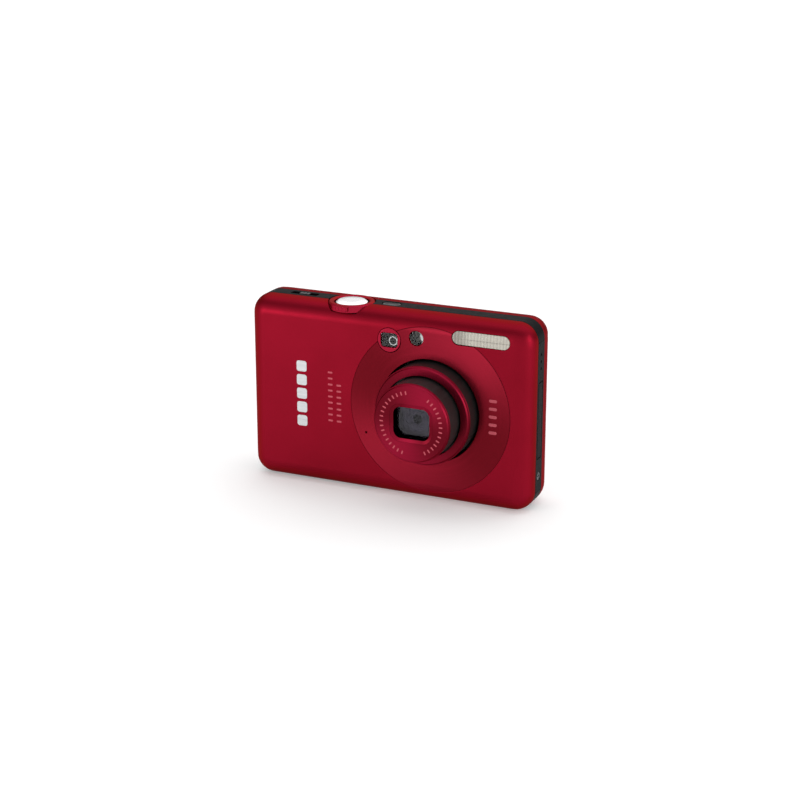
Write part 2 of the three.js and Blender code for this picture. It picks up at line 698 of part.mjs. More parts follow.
add(
  "af_lamp_window",
  turned([[0, -9.2], [1.2, -9.15], [LAMP.radius, -8.95], [LAMP.radius, -7.7], [0, -7.7]],
    LAMP.x, LAMP.z, 24),
  CLEAR,
);

add("shutter_button", shutterButton(), POLISHED);
add("zoom_lever", zoomLever(), RED_METAL);
add("power_button", powerButton(), GLOSS_BLACK);
add("mode_switch", modeSwitch(), BLACK_PLASTIC);
add("control_pad", ring(PAD.x, PAD.z, PAD.radius, PAD.hole, 8, 9.35, 32), BLACK_PLASTIC);
add("pad_rocker", ring(PAD.x, PAD.z, 7.4, 4.2, 6.6, 7.2, 24), GREY_PLASTIC);
add("set_button", ring(PAD.x, PAD.z, PAD.set, 0, 7.4, 9.3, 20), BLACK_PLASTIC);
for (const { name, x, z } of SMALL_BUTTONS)
  add(name, ring(x, z, SMALL_BUTTON, 0, 7.6, 9.35, 16), BLACK_PLASTIC);

add(
  "terminal_cover",
  box(SIDE - FLAP.thick, SIDE, FLAP.front, FLAP.rear, FLAP.low, FLAP.high),
  BLACK_PLASTIC,
);
add("terminal_block", terminalBlock(), STEEL);
add("strap_bar", upright(STRAP.x, STRAP.y, STRAP.radius, 0, 44.3, 48.2, 12), STEEL);
add("case_screw_left", screw(-SIDE + 0.1, -1, SCREW_LEFT.y, SCREW_LEFT.z), STEEL);
add("case_screw_right", screw(SIDE - 0.1, 1, SCREW_RIGHT.y, SCREW_RIGHT.z), STEEL);

export default group;
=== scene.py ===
# A slim red compact digital camera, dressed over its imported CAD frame.
# Sizes are in millimetres here and become metres where a mesh is made. +Z is up, the front faces -Y.
import math

import bpy
import numpy as np
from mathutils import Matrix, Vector
from mathutils.geometry import delaunay_2d_cdt
from numpy.linalg import norm


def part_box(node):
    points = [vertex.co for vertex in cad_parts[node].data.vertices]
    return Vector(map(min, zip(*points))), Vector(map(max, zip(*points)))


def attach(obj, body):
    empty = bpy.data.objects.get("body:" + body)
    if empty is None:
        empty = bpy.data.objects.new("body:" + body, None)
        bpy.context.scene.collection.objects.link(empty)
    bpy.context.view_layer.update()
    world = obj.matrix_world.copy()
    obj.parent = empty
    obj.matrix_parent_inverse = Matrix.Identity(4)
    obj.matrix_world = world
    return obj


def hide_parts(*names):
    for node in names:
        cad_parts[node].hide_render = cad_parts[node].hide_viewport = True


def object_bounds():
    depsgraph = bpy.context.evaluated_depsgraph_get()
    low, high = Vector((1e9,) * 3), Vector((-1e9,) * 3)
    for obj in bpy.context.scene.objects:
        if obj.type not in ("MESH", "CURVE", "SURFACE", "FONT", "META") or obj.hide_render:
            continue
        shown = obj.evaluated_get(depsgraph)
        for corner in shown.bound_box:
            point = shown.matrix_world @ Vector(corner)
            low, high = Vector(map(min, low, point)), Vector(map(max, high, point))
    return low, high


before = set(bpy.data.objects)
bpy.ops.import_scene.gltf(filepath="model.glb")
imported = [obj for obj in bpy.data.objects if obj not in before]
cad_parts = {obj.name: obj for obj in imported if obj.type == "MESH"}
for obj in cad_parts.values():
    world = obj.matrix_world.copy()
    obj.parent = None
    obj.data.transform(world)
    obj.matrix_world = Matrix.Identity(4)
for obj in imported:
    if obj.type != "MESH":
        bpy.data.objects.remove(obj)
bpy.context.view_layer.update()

MM = 0.001


def low(node, axis):
    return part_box(node)[0][axis] / MM


def high(node, axis):
    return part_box(node)[1][axis] / MM


def middle(node):
    corner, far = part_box(node)
    return (corner + far) / (2 * MM)


def face_on(node):
    """The middle of a node seen from the front: x and z."""
    return middle(node)[0], middle(node)[2]


# --- the body's form ---
SIDE = high("right_side_cover", 0)
HEIGHT = high("front_cover", 2)
FRONT = low("front_cover", 1)
REAR = high("rear_cover", 1)
MID_Z = HEIGHT / 2
CORNER = 5.6  # outline corners, seen from the front
ROUND = 5.2  # how far the front and rear edges curve in from the outline
FRONT_REACH = 5.2  # and how far along Y
REAR_REACH = 7.0
FRONT_SEAM = -3.8  # where the red shells end and the black band begins
REAR_SEAM = 1.5
BAND_FRONT = -3.5
BAND_REAR = 1.2
SHELL = 1.0
BAND_WALL = 1.2
CORE_X = SIDE - CORNER
CORE_Z = MID_Z - CORNER
CORE_REST = CORNER - ROUND  # corner radius left on the flat faces
JOINT_GAP = 0.3  # between two black pieces, and between them and the shells' cut-backs
TOP_JOINT = 48.6  # where the side bands end under the top band
LEFT_JOINT = 3.0  # height at which the battery door meets the left band
RIGHT_JOINT = 5.0
DOOR_EDGE = -4.3  # the base cover's end at the door, by distance from the middle
BASE_EDGE = 37.9  # and where its wide part ends
BASE_HALF = 4.9  # half the wide part of the base, with its gap
DOOR_FRONT, DOOR_REAR = -6.2, 5.2  # the shells' cut-backs for the battery door

# --- features ---
LENS_X, LENS_Z = middle("lens_base")[0], 27.0
DISC_RADIUS = 24.2
DISC_HOLE = 15.05
DISC_THICK = 0.45
GROOVE = 0.16  # gap round the disc, the screen and the eyepiece
FINDER_X, FINDER_Z = face_on("viewfinder_window")
BEZEL = 3.5
LAMP_X, LAMP_Z = face_on("af_lamp_window")
LAMP_RADIUS = 2.05
FLASH_X, FLASH_Z = face_on("flash_window")
FLASH_WIDTH, FLASH_HEIGHT = 16.9, 3.75
MIC_X, MIC_Z = -6, 18
SHUTTER_X, SHUTTER_Y = -13.4, -2.6
RECESS = 6.9  # round well for the zoom lever
RECESS_FLOOR = 52.2
WELL_FRONT, WELL_REAR = -8.25, 4.3  # where the well's floor runs out of the shells
POWER_X, POWER_Y = -1.6, -1.2
MODE_X, MODE_Y = -29, -1.2
SCREEN_X, SCREEN_Z = face_on("lcd_window")
SCREEN_WIDTH, SCREEN_HEIGHT = 52.6, 39
PAD_X, PAD_Z = face_on("set_button")
PAD_RADIUS = 8.2
PAD_HOLE = 3.9
TRIPOD_X = LENS_X
SCREW_Y, SCREW_RADIUS = middle("case_screw_left")[1], 1.35
STRAP_Y, STRAP_Z = -1.15, 46.25  # middle of the strap pocket
STRAP_HIGH, STRAP_WIDE = 3.3, 3.1
FLAP_Y, FLAP_Z = -1.2, 26


# --- outlines ---
def ways(turn):
    """Unit vectors at these angles."""
    return np.stack([np.cos(turn), np.sin(turn)], -1)


def circle(x, z, segments=96):
    """Growth g gives the circle of radius g: its points and outward directions, anticlockwise."""
    turn = np.linspace(0, 2 * np.pi, segments, endpoint=False)
    out = ways(turn)
    return lambda g: (np.array([x, z]) + g * out, out)


def rounded(x, z, width, height, radius, steps=8):
    """Growth g gives a rounded rectangle, grown by g on every side."""
    turn = np.concatenate(
        [np.linspace(a, a + np.pi / 2, steps) for a in np.pi * np.array([-0.5, 0, 0.5, 1])]
    )
    out = ways(turn)
    sign = np.repeat([[1, -1], [1, 1], [-1, 1], [-1, -1]], steps, 0)
    core = sign * (np.array([width, height]) / 2 - radius)

    def grown(g):
        tight = max(radius + g, 0.02)
        extra = radius + g - tight
        return np.array([x, z]) + core + sign * extra + tight * out, out

    return grown


def stadium(x, z, width, height, steps=10):
    return rounded(x, z, width, height, height / 2 - 0.01, steps)


def turned(outline_of, x, z, angle):
    """An outline made about the origin, turned and moved to (x, z)."""
    spin = np.array([[math.cos(angle), math.sin(angle)], [-math.sin(angle), math.cos(angle)]])

    def grown(g):
        points, out = outline_of(g)
        return np.array([x, z]) + points @ spin, out @ spin

    return grown


def dense(loop, step):
    """A closed loop with its long sides divided."""
    points = []
    for a, b in zip(loop, np.roll(loop, -1, 0)):
        count = max(1, int(np.ceil(norm(b - a) / step)))
        points += [a + (b - a) * k / count for k in range(count)]
    return np.array(points)


def inside(points, loop):
    """Which points lie inside a closed loop."""
    x, z = points[:, 0], points[:, 1]
    hit = np.zeros(len(points), bool)
    for (x0, z0), (x1, z1) in zip(loop, np.roll(loop, -1, 0)):
        if z0 == z1:
            continue
        crosses = (z0 > z) != (z1 > z)
        hit ^= crosses & (x < (x1 - x0) * (z - z0) / (z1 - z0) + x0)
    return hit


def polygon(corners, step=0.8):
    return dense(np.array(corners, float), step)


def lattice(x, z):
    """Every crossing of the columns x and the rows z."""
    x, z = np.meshgrid(x, z)
    return np.stack([x.ravel(), z.ravel()], 1)


def facing_front(y):
    """A flat surface at depth y, as sheet() wants it."""

    def place(points):
        at = np.stack([points[:, 0], np.full(len(points), y), points[:, 1]], 1)
        return at, np.tile([0.0, -1.0, 0.0], (len(points), 1))

    return place


# --- the outline of the body, by distance round it ---
QUARTER = CORNER * math.pi / 2
WALK = []  # stretches: length, core from and to, outward angle from and to
walker, facing = (0, -CORE_Z), -90
for corner in ((CORE_X, -CORE_Z), (CORE_X, CORE_Z), (-CORE_X, CORE_Z), (-CORE_X, -CORE_Z)):
    WALK.append((math.dist(walker, corner), walker, corner, facing, facing))
    WALK.append((QUARTER, corner, corner, facing, facing + 90))
    walker, facing = corner, facing + 90
WALK.append((CORE_X, walker, (0, -CORE_Z), facing, facing))
AROUND = sum(length for length, *_ in WALK)


def outline(t):
    """Core points and outward directions (x, z) at distances t from the bottom's middle."""
    t = np.mod(t, AROUND)
    core = np.zeros((len(t), 2))
    out = np.zeros((len(t), 2))
    start = 0
    for length, a, b, from_angle, to_angle in WALK:
        here = (t >= start) & (t <= start + length)
        share = ((t[here] - start) / length)[:, None]
        core[here] = np.array(a) + share * (np.array(b, float) - a)
        angle = np.radians(from_angle + share[:, 0] * (to_angle - from_angle))
        out[here] = ways(angle)
        start += length
    return core, out


def along_right(z):
    """Distance round the outline to height z on the right side."""
    base = CORE_X + QUARTER
    if z < CORNER:
        return base - CORNER * math.asin((CORNER - z) / CORNER)
    if z > HEIGHT - CORNER:
        return base + 2 * CORE_Z + CORNER * math.asin((z - HEIGHT + CORNER) / CORNER)
    return base + z - CORNER


def along_left(z):
    return AROUND - along_right(z)


def along_top(x):
    return 2 * CORE_X + 2 * QUARTER + 2 * CORE_Z - x


class Face:
    """The rounded front or rear of the body, unrolled outwards from its flat middle."""

    def __init__(self, sign, flat, reach, seam):
        self.sign, self.flat, self.seam = sign, flat, seam
        angle = np.linspace(0, np.pi / 2, 300)
        inset = ROUND * (1 - np.cos(angle))
        y = flat - sign * reach * (1 - np.sin(angle))
        step = np.hypot(np.diff(inset), np.diff(y))
        straight = abs(y[0] - seam)
        before = 12.0  # the straight wall also goes on behind the seam
        self.arc = np.concatenate([[-before], straight + np.concatenate([[0], step.cumsum()])])
        self.inset = np.concatenate([[0], inset])
        self.y = np.concatenate([[seam - sign * before], y])
        out, along = reach * np.cos(angle), ROUND * np.sin(angle)
        size = np.hypot(out, along)
        self.out = np.concatenate([[1], out / size])
        self.along = np.concatenate([[0], along / size])
        self.reach = CORE_REST + self.arc[-1]

    def place(self, points):
        """Unrolled points as places on the form and outward normals."""
        u, v = points[:, 0], points[:, 1]
        q = np.stack([np.maximum(abs(u) - CORE_X, 0), np.maximum(abs(v) - CORE_Z, 0)], 1)
        far = np.hypot(q[:, 0], q[:, 1])
        flat = far <= CORE_REST
        arc = np.where(flat, self.arc[-1], self.reach - far)
        near = CORNER - np.interp(arc, self.arc, self.inset)
        away = q / np.maximum(far, 1e-9)[:, None] * np.sign(points)
        core = np.stack([np.clip(u, -CORE_X, CORE_X), np.clip(v, -CORE_Z, CORE_Z)], 1)
        at = np.where(flat[:, None], points, core + away * near[:, None])
        y = np.where(flat, self.flat, np.interp(arc, self.arc, self.y))
        out = np.where(flat, 0, np.interp(arc, self.arc, self.out))
        along = np.where(flat, 1, np.interp(arc, self.arc, self.along))
        size = np.hypot(out, along)
        place = np.stack([at[:, 0], y, at[:, 1] + MID_Z], 1)
        normal = np.stack([away[:, 0] * out, self.sign * along, away[:, 1] * out], 1)
        return place, normal / size[:, None]

    def unroll(self, points):
        """Points seen from the front, (x, z), on the unrolled face."""
        points = points - np.array([0, MID_Z])
        q = np.maximum(abs(points) - np.array([CORE_X, CORE_Z]), 0)
        near = np.hypot(q[:, 0], q[:, 1])
        arc = np.interp(CORNER - near, self.inset[1:], self.arc[1:])
        far = np.where(near <= CORE_REST, near, self.reach - arc)
        return points + np.sign(points) * q * (far / np.maximum(near, 1e-9) - 1)[:, None]

    def at(self, t, y):
        """Where distance t round the outline and depth y lie on the unrolled face."""
        core, out = outline(t)
        order = np.argsort(self.y)
        arc = np.interp(y, self.y[order], self.arc[order])
        return core + out * (self.reach - arc)[:, None]

    def edge(self, cuts):
        """The cover's edge: the seam, except where a stretch (from, to, y) is cut back."""
        first = cuts[0][0]
        stretches = cuts + [(cuts[-1][1], first + AROUND, self.seam)]
        loop = []
        for start, end, y in stretches:
            t = np.arange(start, end, 0.9)
            loop += list(self.at(np.append(t, end), np.full(len(t) + 1, y)))
        return dense(np.array(loop), 0.9)

    def grid(self):
        """Points that the sheet's mesh passes through: rows round the curve, then a plain grid."""
        rows = np.linspace(0.4, self.arc[-1], 15)
        corner = np.linspace(0, QUARTER, 9)[1:-1]
        t = [np.arange(-CORE_X, CORE_X, 1.5)]
        start = CORE_X
        for straight in (2 * CORE_Z, 2 * CORE_X, 2 * CORE_Z):
            t += [start + corner, start + QUARTER + np.arange(0, straight, 1.5)]
            start += QUARTER + straight
        t = np.concatenate(t + [start + corner])
        core, out = outline(t)
        curved = [core + out * (self.reach - arc) for arc in rows]
        flat = lattice(np.arange(-CORE_X + 1, CORE_X, 2.2), np.arange(-CORE_Z + 1, CORE_Z, 2.2))
        return np.concatenate(curved + [flat])


FRONT_FACE = Face(-1, FRONT, FRONT_REACH, FRONT_SEAM)
REAR_FACE = Face(1, REAR, REAR_REACH, REAR_SEAM)


def round_inset(y):
    """How far in from the outline the form is at depth y, and its slope."""
    front = np.clip((FRONT + FRONT_REACH - y) / FRONT_REACH, 0, 1)
    rear = np.clip((y - REAR + REAR_REACH) / REAR_REACH, 0, 1)
    inset = ROUND * (2 - np.sqrt(1 - front**2) - np.sqrt(1 - rear**2))
    slope = ROUND * (
        rear / np.sqrt(1 - rear**2) / REAR_REACH - front / np.sqrt(1 - front**2) / FRONT_REACH
    )
    return inset, slope


def on_band(points):
    """Points (distance round the outline, y) as places and normals."""
    core, out = outline(points[:, 0])
    inset, slope = round_inset(points[:, 1])
    at = core + out * (CORNER - inset)[:, None]
    place = np.stack([at[:, 0], points[:, 1], at[:, 1] + MID_Z], 1)
    normal = np.stack([out[:, 0], slope, out[:, 1]], 1)
    return place, normal / norm(normal, axis=1)[:, None]


def band_grid(start, end, front, rear):
    return lattice(np.arange(start, end, 0.7), np.arange(front + 0.35, rear, 0.6))


# --- shapes ---
class Shape:
    """Faces being gathered, each with its own corner normals."""

    def __init__(self):
        self.points, self.faces, self.normals = [], [], []

    def add(self, points, faces, normals):
        first = len(self.points)
        self.points += [tuple(p) for p in points]
        for face, around in zip(faces, normals):
            a, b, c = (np.array(points[i]) for i in (face[0], face[1], face[len(face) // 2 + 1]))
            if np.cross(b - a, c - a) @ np.mean(around, 0) < 0:
                face, around = face[::-1], around[::-1]
            self.faces.append([i + first for i in face])
            self.normals += [tuple(n) for n in around]
        return self


def sheet(shape, place, grid, outer, holes=(), thick=SHELL, roll=0.14, start=0.0):
    """Adds a closed sheet on a surface, with its edges rolled over.
    outer and holes are loops in the surface's own plane; start is how deep the sheet begins."""
    loops = [outer, *holes]
    points = list(grid[inside(grid, outer)])
    clear = 0.3  # grid points nearer than this to an edge are dropped
    for loop in loops:
        points = [p for p in points if norm(loop - p, axis=1).min() > clear]
    sides = []
    for loop in loops:
        first = len(points)
        points += list(loop)
        sides += [(first + k, first + (k + 1) % len(loop)) for k in range(len(loop))]
    made = delaunay_2d_cdt([Vector(p) for p in points], sides, [], 0, 1e-5)
    flat = np.array([tuple(v) for v in made[0]])
    tris = np.array(made[2])
    centre = flat[tris].mean(1)
    keep = inside(centre, outer)
    for hole in holes:
        keep &= ~inside(centre, hole)
    tris = tris[keep]
    used, tris = np.unique(tris, return_inverse=True)
    flat, tris = flat[used], tris.reshape(-1, 3)
    on, normal = place(flat)
    on = on - normal * start

    a, b, c = (on[tris[:, k]] for k in range(3))
    wrong = (np.cross(b - a, c - a) * normal[tris].mean(1)).sum(1) < 0
    tris[wrong] = tris[wrong][:, ::-1]
    half = {(i, j) for t in tris for i, j in zip(t, np.roll(t, -1))}

    shape.add(on, tris.tolist(), normal[tris])
    shape.add(on - normal * thick, tris[:, ::-1].tolist(), -normal[tris[:, ::-1]])
    following = {i: j for i, j in half if (j, i) not in half}
    while following:
        i = next(iter(following))
        loop = []
        while i in following:
            loop.append(i)
            i = following.pop(i)
        rolled_edge(shape, on[loop], normal[loop], thick, roll)


def rolled_edge(shape, on, normal, thick, roll):
    """A sheet's rolled edge and wall along one closed loop with the sheet on its left."""
    ahead = np.roll(on, -1, 0) - np.roll(on, 1, 0)
    side = np.cross(ahead, normal)
    side /= np.maximum(norm(side, axis=1), 1e-9)[:, None]
    rows, turned_to = [], []
    for angle in np.linspace(0, np.pi / 2, 4):
        rows.append(on + side * roll * np.sin(angle) - normal * roll * (1 - np.cos(angle)))
        turned_to.append(normal * np.cos(angle) + side * np.sin(angle))
    rows += [on + side * roll - normal * thick, on - normal * thick]
    turned_to += [side, -normal]
    n = len(on)
    points = np.concatenate(rows)
    faces, normals = [], []
    for k in range(len(rows) - 1):
        last = k == len(rows) - 2
        low_turn, high_turn = (-normal, -normal) if last else (turned_to[k], turned_to[k + 1])
        for i in range(n):
            j = (i + 1) % n
            faces.append([k * n + i, k * n + j, (k + 1) * n + j, (k + 1) * n + i])
            normals.append([low_turn[i], low_turn[j], high_turn[j], high_turn[i]])
    shape.add(points, faces, normals)


def softened(points, radius, closed):
    """A profile with rounded corners, as rows of (point, normal before, normal after)."""
    p = np.array(points, float)
    area = sum(a[0] * b[1] - a[1] * b[0] for a, b in zip(p, np.roll(p, -1, 0)))
    if area < 0:
        p = p[::-1]
    rows = []

    def right(way):
        return np.array([way[1], -way[0]])

    def unit(way):
        return way / max(norm(way), 1e-9)

    for k in range(len(p)):
        before = unit(p[k] - p[k - 1]) if closed or k > 0 else None
        after = unit(p[(k + 1) % len(p)] - p[k]) if closed or k < len(p) - 1 else None
        if before is None or after is None:
            only = right(after if before is None else before)
            rows.append((p[k], only, only))
            continue
        bend = math.atan2(before[0] * after[1] - before[1] * after[0], before @ after)
        if abs(bend) < 0.02:
            rows.append((p[k], right(before), right(after)))
            continue
        following = p[(k + 1) % len(p)]
        room = 0.45 * min(norm(p[k] - p[k - 1]), norm(following - p[k]))
        back = min(radius * math.tan(abs(bend) / 2), room)
        size = back / math.tan(abs(bend) / 2)
        hand = 1 if bend > 0 else -1
        centre = p[k] - before * back - hand * right(before) * size
        heading = math.atan2(before[1], before[0])
        for share in np.linspace(0, 1, 5):
            way = np.array([math.cos(heading + share * bend), math.sin(heading + share * bend)])
            rows.append((centre + hand * right(way) * size, right(way), right(way)))
    return rows


AXES = {"y": (0, 2, 1), "z": (0, 1, 2), "x": (2, 0, 1)}


def loft(shape, outline_of, profile, along="y", soft=0.15, closed=False):
    """Sweeps an outline through a profile of (growth, height). The ends are filled unless closed.
    along y, the outline is (x, z); along z it is (x, y); along x it is (y, z)."""
    rows = softened(profile, soft, closed)
    order = AXES[along]
    points, n = [], 0
    for (growth, height), _, _ in rows:
        flat, out = outline_of(growth)
        n = len(flat)
        points.append(np.column_stack([flat, np.full(n, height)])[:, order])
    faces, normals = [], []

    def turn(normal):
        return np.column_stack([out * normal[0], np.full(n, normal[1])])[:, order]

    for k in range(len(rows) if closed else len(rows) - 1):
        m = (k + 1) % len(rows)
        a, b = turn(rows[k][2]), turn(rows[m][1])
        for i in range(n):
            j = (i + 1) % n
            faces.append([k * n + i, k * n + j, m * n + j, m * n + i])
            normals.append([a[i], a[j], b[j], b[i]])
    if not closed:
        for k, normal in ((0, rows[0][1]), (len(rows) - 1, rows[-1][2])):
            faces.append([k * n + i for i in range(n)])
            normals.append(turn(normal * np.array([0, 1])))
    return shape.add(np.concatenate(points), faces, normals)


def plate(shape, outline_of, front, rear, along="y", soft=0.15, inner=0.8):
    """A solid between two heights whose outline has soft edges."""
    profile = [(-inner, front), (0, front), (0, rear), (-inner, rear)]
    return loft(shape, outline_of, profile, along, soft)


def ring(shape, x, z, outer, inner, front, rear, along="y", soft=0.12, segments=96):
    profile = [(inner, front), (outer, front), (outer, rear), (inner, rear)]
    return loft(shape, circle(x, z, segments), profile, along, soft, closed=True)


def linked(name, data):
    made = bpy.data.objects.new(name, data)
    bpy.context.scene.collection.objects.link(made)
    return made


def piece(name, shape, body, finish, *stands_for):
    """The shape as an object that rides on a CAD body, in one of the record's finishes."""
    mesh = bpy.data.meshes.new(name)
    mesh.from_pydata([tuple(MM * c for c in p) for p in shape.points], [], shape.faces)
    mesh.polygons.foreach_set("use_smooth", [True] * len(mesh.polygons))
    mesh.normals_split_custom_set(shape.normals)
    mesh.materials.append(FINISHES[finish])
    made = linked(name, mesh)
    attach(made, body)
    if stands_for:
        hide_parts(*stands_for)


# --- finishes ---
FINISHES = {}


class Graph:
    """A finish's nodes. Places are the object's own coordinates, in metres."""

    def __init__(self, name, **settings):
        self.material = FINISHES[name] = bpy.data.materials.new(name)
        self.material.use_nodes = True
        self.nodes = self.material.node_tree.nodes
        self.link = self.material.node_tree.links.new
        self.shader = self.nodes["Principled BSDF"]
        self.place = self.nodes.new("ShaderNodeTexCoord").outputs["Object"]
        for socket, value in settings.items():
            self.shader.inputs[socket.replace("_", " ")].default_value = value

    def node(self, kind, inputs, **settings):
        made = self.nodes.new("ShaderNode" + kind)
        for key, value in settings.items():
            setattr(made, key, value)
        for key, value in inputs.items():
            if isinstance(value, bpy.types.NodeSocket):
                self.link(value, made.inputs[key])
            else:
                made.inputs[key].default_value = value
        return made

    def noise(self, scale, detail=3.0, place=None):
        inputs = {"Vector": place or self.place, "Scale": scale, "Detail": detail}
        return self.node("TexNoise", inputs).outputs["Fac"]

    def between(self, value, low_end, high_end, start=0.3, end=0.7):
        """A texture's middle range carried to low_end..high_end."""
        inputs = {0: value, 1: start, 2: end, 3: low_end, 4: high_end}
        return self.node("MapRange", inputs).outputs[0]

    def colour(self, value, dark, light):
        """The base colour, from dark to light; 6 and 7 are the Mix node's colour inputs."""
        inputs = {0: value, 6: (*dark, 1), 7: (*light, 1)}
        self.set("Base Color", self.node("Mix", inputs, data_type="RGBA").outputs[2])

    def gloss(self, value, low_end, high_end):
        self.set("Roughness", self.between(value, low_end, high_end))

    def math(self, operation, a, b=0.0, c=0.0):
        return self.node("Math", {0: a, 1: b, 2: c}, operation=operation).outputs[0]

    def split(self, x=0.0, z=0.0):
        """How far across and up a place is from a centre in millimetres."""
        across, _, up = self.node("SeparateXYZ", {0: self.place}).outputs
        return self.math("SUBTRACT", across, x * MM), self.math("SUBTRACT", up, z * MM)

    def stretched(self, x, y, z):
        inputs = {0: self.place, 1: (x, y, z)}
        return self.node("VectorMath", inputs, operation="MULTIPLY").outputs[0]

    def bump(self, height, strength, distance):
        inputs = {"Height": height, "Strength": strength, "Distance": distance * MM}
        self.set("Normal", self.node("Bump", inputs).outputs[0])

    def set(self, socket, value):
        self.link(value, self.shader.inputs[socket])


def plain_finish(name, dark, light, rough, grain, bump, spread=0.05, **settings):
    """A moulded or coated surface: two close tones, uneven gloss and a fine grain.
    grain is the size of the grain in millimetres."""
    g = Graph(name, **settings)
    fine = 1 / (grain * MM)
    g.colour(g.between(g.noise(fine / 3), 0, 1), dark, light)
    g.gloss(g.noise(fine / 12), rough - spread, rough + spread)
    g.bump(g.noise(fine), bump, grain * 0.2)


RED_EDGE = (0.6, 0.07, 0.15, 1)  # the metal's colour at grazing angles


def red_shell():
    g = Graph("red_shell", Metallic=0.97, Coat_Weight=0.07, Coat_Roughness=0.4, Specular_Tint=RED_EDGE)
    flake = g.node("TexVoronoi", {"Vector": g.place, "Scale": 9000}).outputs["Distance"]
    cloud = g.between(g.noise(60, 2), 0, 1)
    g.colour(cloud, (0.215, 0.0022, 0.012), (0.24, 0.0027, 0.0145))
    g.gloss(g.noise(220, 4), 0.37, 0.42)
    g.bump(flake, 0.05, 0.02)


HIGHLIGHT_TURN = math.radians(25)  # the painted highlight's bright wedges lie at one and seven o'clock


def spun(name, dark, light, rough, anisotropic):
    """Metal turned on a lathe about the lens axis: fine rings, and a painted highlight of two bright
    wedges in the base colour.
    """
    g = Graph(name, Metallic=0.97, Anisotropic=anisotropic, Specular_Tint=RED_EDGE)
    across, up = g.split(LENS_X, LENS_Z)
    squares = g.math("ADD", g.math("MULTIPLY", across, across), g.math("MULTIPLY", up, up))
    radius = g.math("SQRT", squares)
    turn = g.math("SUBTRACT", g.math("ARCTAN2", across, up), HIGHLIGHT_TURN)
    highlight_wave = g.math("COSINE", g.math("MULTIPLY", turn, 2.0))
    rings = g.node("TexNoise", {"W": radius, "Scale": 9000, "Detail": 4}, noise_dimensions="1D")
    broad = g.node("TexNoise", {"W": radius, "Scale": 900, "Detail": 2}, noise_dimensions="1D")
    uneven = g.math("MULTIPLY", g.math("SUBTRACT", broad.outputs["Fac"], 0.5), 0.5)
    # Painted highlight: the base colour brightens in two wedges about the lens axis, with random tone
    # along the rings.
    painted_highlight_and_tone = g.between(g.math("ADD", highlight_wave, uneven), 0, 1, -0.9, 1.0)
    g.colour(painted_highlight_and_tone, dark, light)
    g.gloss(rings.outputs["Fac"], rough - 0.04, rough + 0.05)
    g.bump(rings.outputs["Fac"], 0.12, 0.02)
    tangent = g.node("Tangent", {}, direction_type="RADIAL", axis="Y")
    g.set("Tangent", tangent.outputs[0])


def flash_diffuser():
    """A ribbed pale lens with the tube's dark line behind it, browner towards its left end; the ribs
    also lighten and darken its colour as painted shade.
    """
    g = Graph("flash_diffuser", Transmission_Weight=0.25, IOR=1.45, Coat_Weight=0.5, Coat_Roughness=0.1)
    rib_width, tube_half = 0.95 * MM, 0.22 * MM
    across, up = g.split(0, FLASH_Z - 0.25)
    rib = g.math("SINE", g.math("MULTIPLY", across, 2 * math.pi / rib_width))
    tube = g.between(g.math("ABSOLUTE", up), 1, 0, 0.0, tube_half)
    left = g.between(across, 1, 0, (FLASH_X - 6.2) * MM, (FLASH_X - 3.2) * MM)
    # The rib wave in the colour is painted shade across the ribs, with random tone.
    rib_shade_and_tone = g.math("MULTIPLY", g.math("ADD", rib, g.noise(700)), 0.16)
    dark = g.math("MAXIMUM", g.math("MULTIPLY", tube, 0.55), g.math("MULTIPLY", left, 0.5))
    darkening = g.between(g.math("ADD", dark, rib_shade_and_tone), 0, 1, 0, 1)
    g.colour(darkening, (0.68, 0.64, 0.55), (0.17, 0.145, 0.11))
    g.gloss(g.noise(500), 0.22, 0.34)
    g.bump(rib, 0.6, 0.12)


def brushed(name, dark, light, rough, along, metallic):
    """A finish whose fine lines run along one axis."""
    g = Graph(name, Metallic=metallic)
    squeeze = {"x": (60, 3000, 3000), "y": (3000, 60, 3000), "z": (3000, 3000, 60)}[along]
    lines = g.noise(1.0, 4, g.stretched(*squeeze))
    g.colour(g.between(lines, 0, 1), dark, light)
    g.gloss(lines, rough - 0.06, rough + 0.08)
    g.bump(lines, 0.08, 0.03)


def glass(name, tint, rough):
    """Clear glass with a coating that cuts its reflections."""
    g = Graph(name, Transmission_Weight=1.0, IOR=1.33)
    g.colour(g.between(g.noise(90, 2), 0, 1), tint, tuple(0.97 * t for t in tint))
    g.gloss(g.noise(400, 3), rough, rough + 0.03)


def screen_glass():
    """A black window whose middle shows the dark display behind it."""
    g = Graph("screen_glass", IOR=1.45)
    across, up = (g.math("ABSOLUTE", way) for way in g.split(SCREEN_X, SCREEN_Z))
    half_width, half_height = 25.4 * MM, 18.6 * MM
    wide, tall = g.math("LESS_THAN", across, half_width), g.math("LESS_THAN", up, half_height)
    g.colour(g.math("MINIMUM", wide, tall), (0.0035, 0.0035, 0.004), (0.016, 0.018, 0.022))
    g.gloss(g.noise(300, 4), 0.05, 0.09)


def circuit_board():
    g = Graph("circuit_board", Coat_Weight=0.4, Coat_Roughness=0.25)
    bricks = {"Vector": g.stretched(700, 700, 700), "Scale": 1.0, "Mortar Size": 0.12}
    tracks = g.node("TexBrick", {**bricks, "Color1": (1,) * 4, "Color2": (0.7,) * 4, "Mortar": (0,) * 4})
    cells = g.node("TexVoronoi", {"Vector": g.place, "Scale": 420}).outputs["Distance"]
    pads = g.math("LESS_THAN", cells, 0.16)
    mask = g.math("MAXIMUM", pads, g.between(tracks.outputs["Color"], 0, 0.4, 0.2, 0.9))
    g.colour(mask, (0.008, 0.06, 0.022), (0.32, 0.3, 0.16))
    g.gloss(g.noise(600), 0.42, 0.55)
    g.bump(mask, 0.3, 0.05)


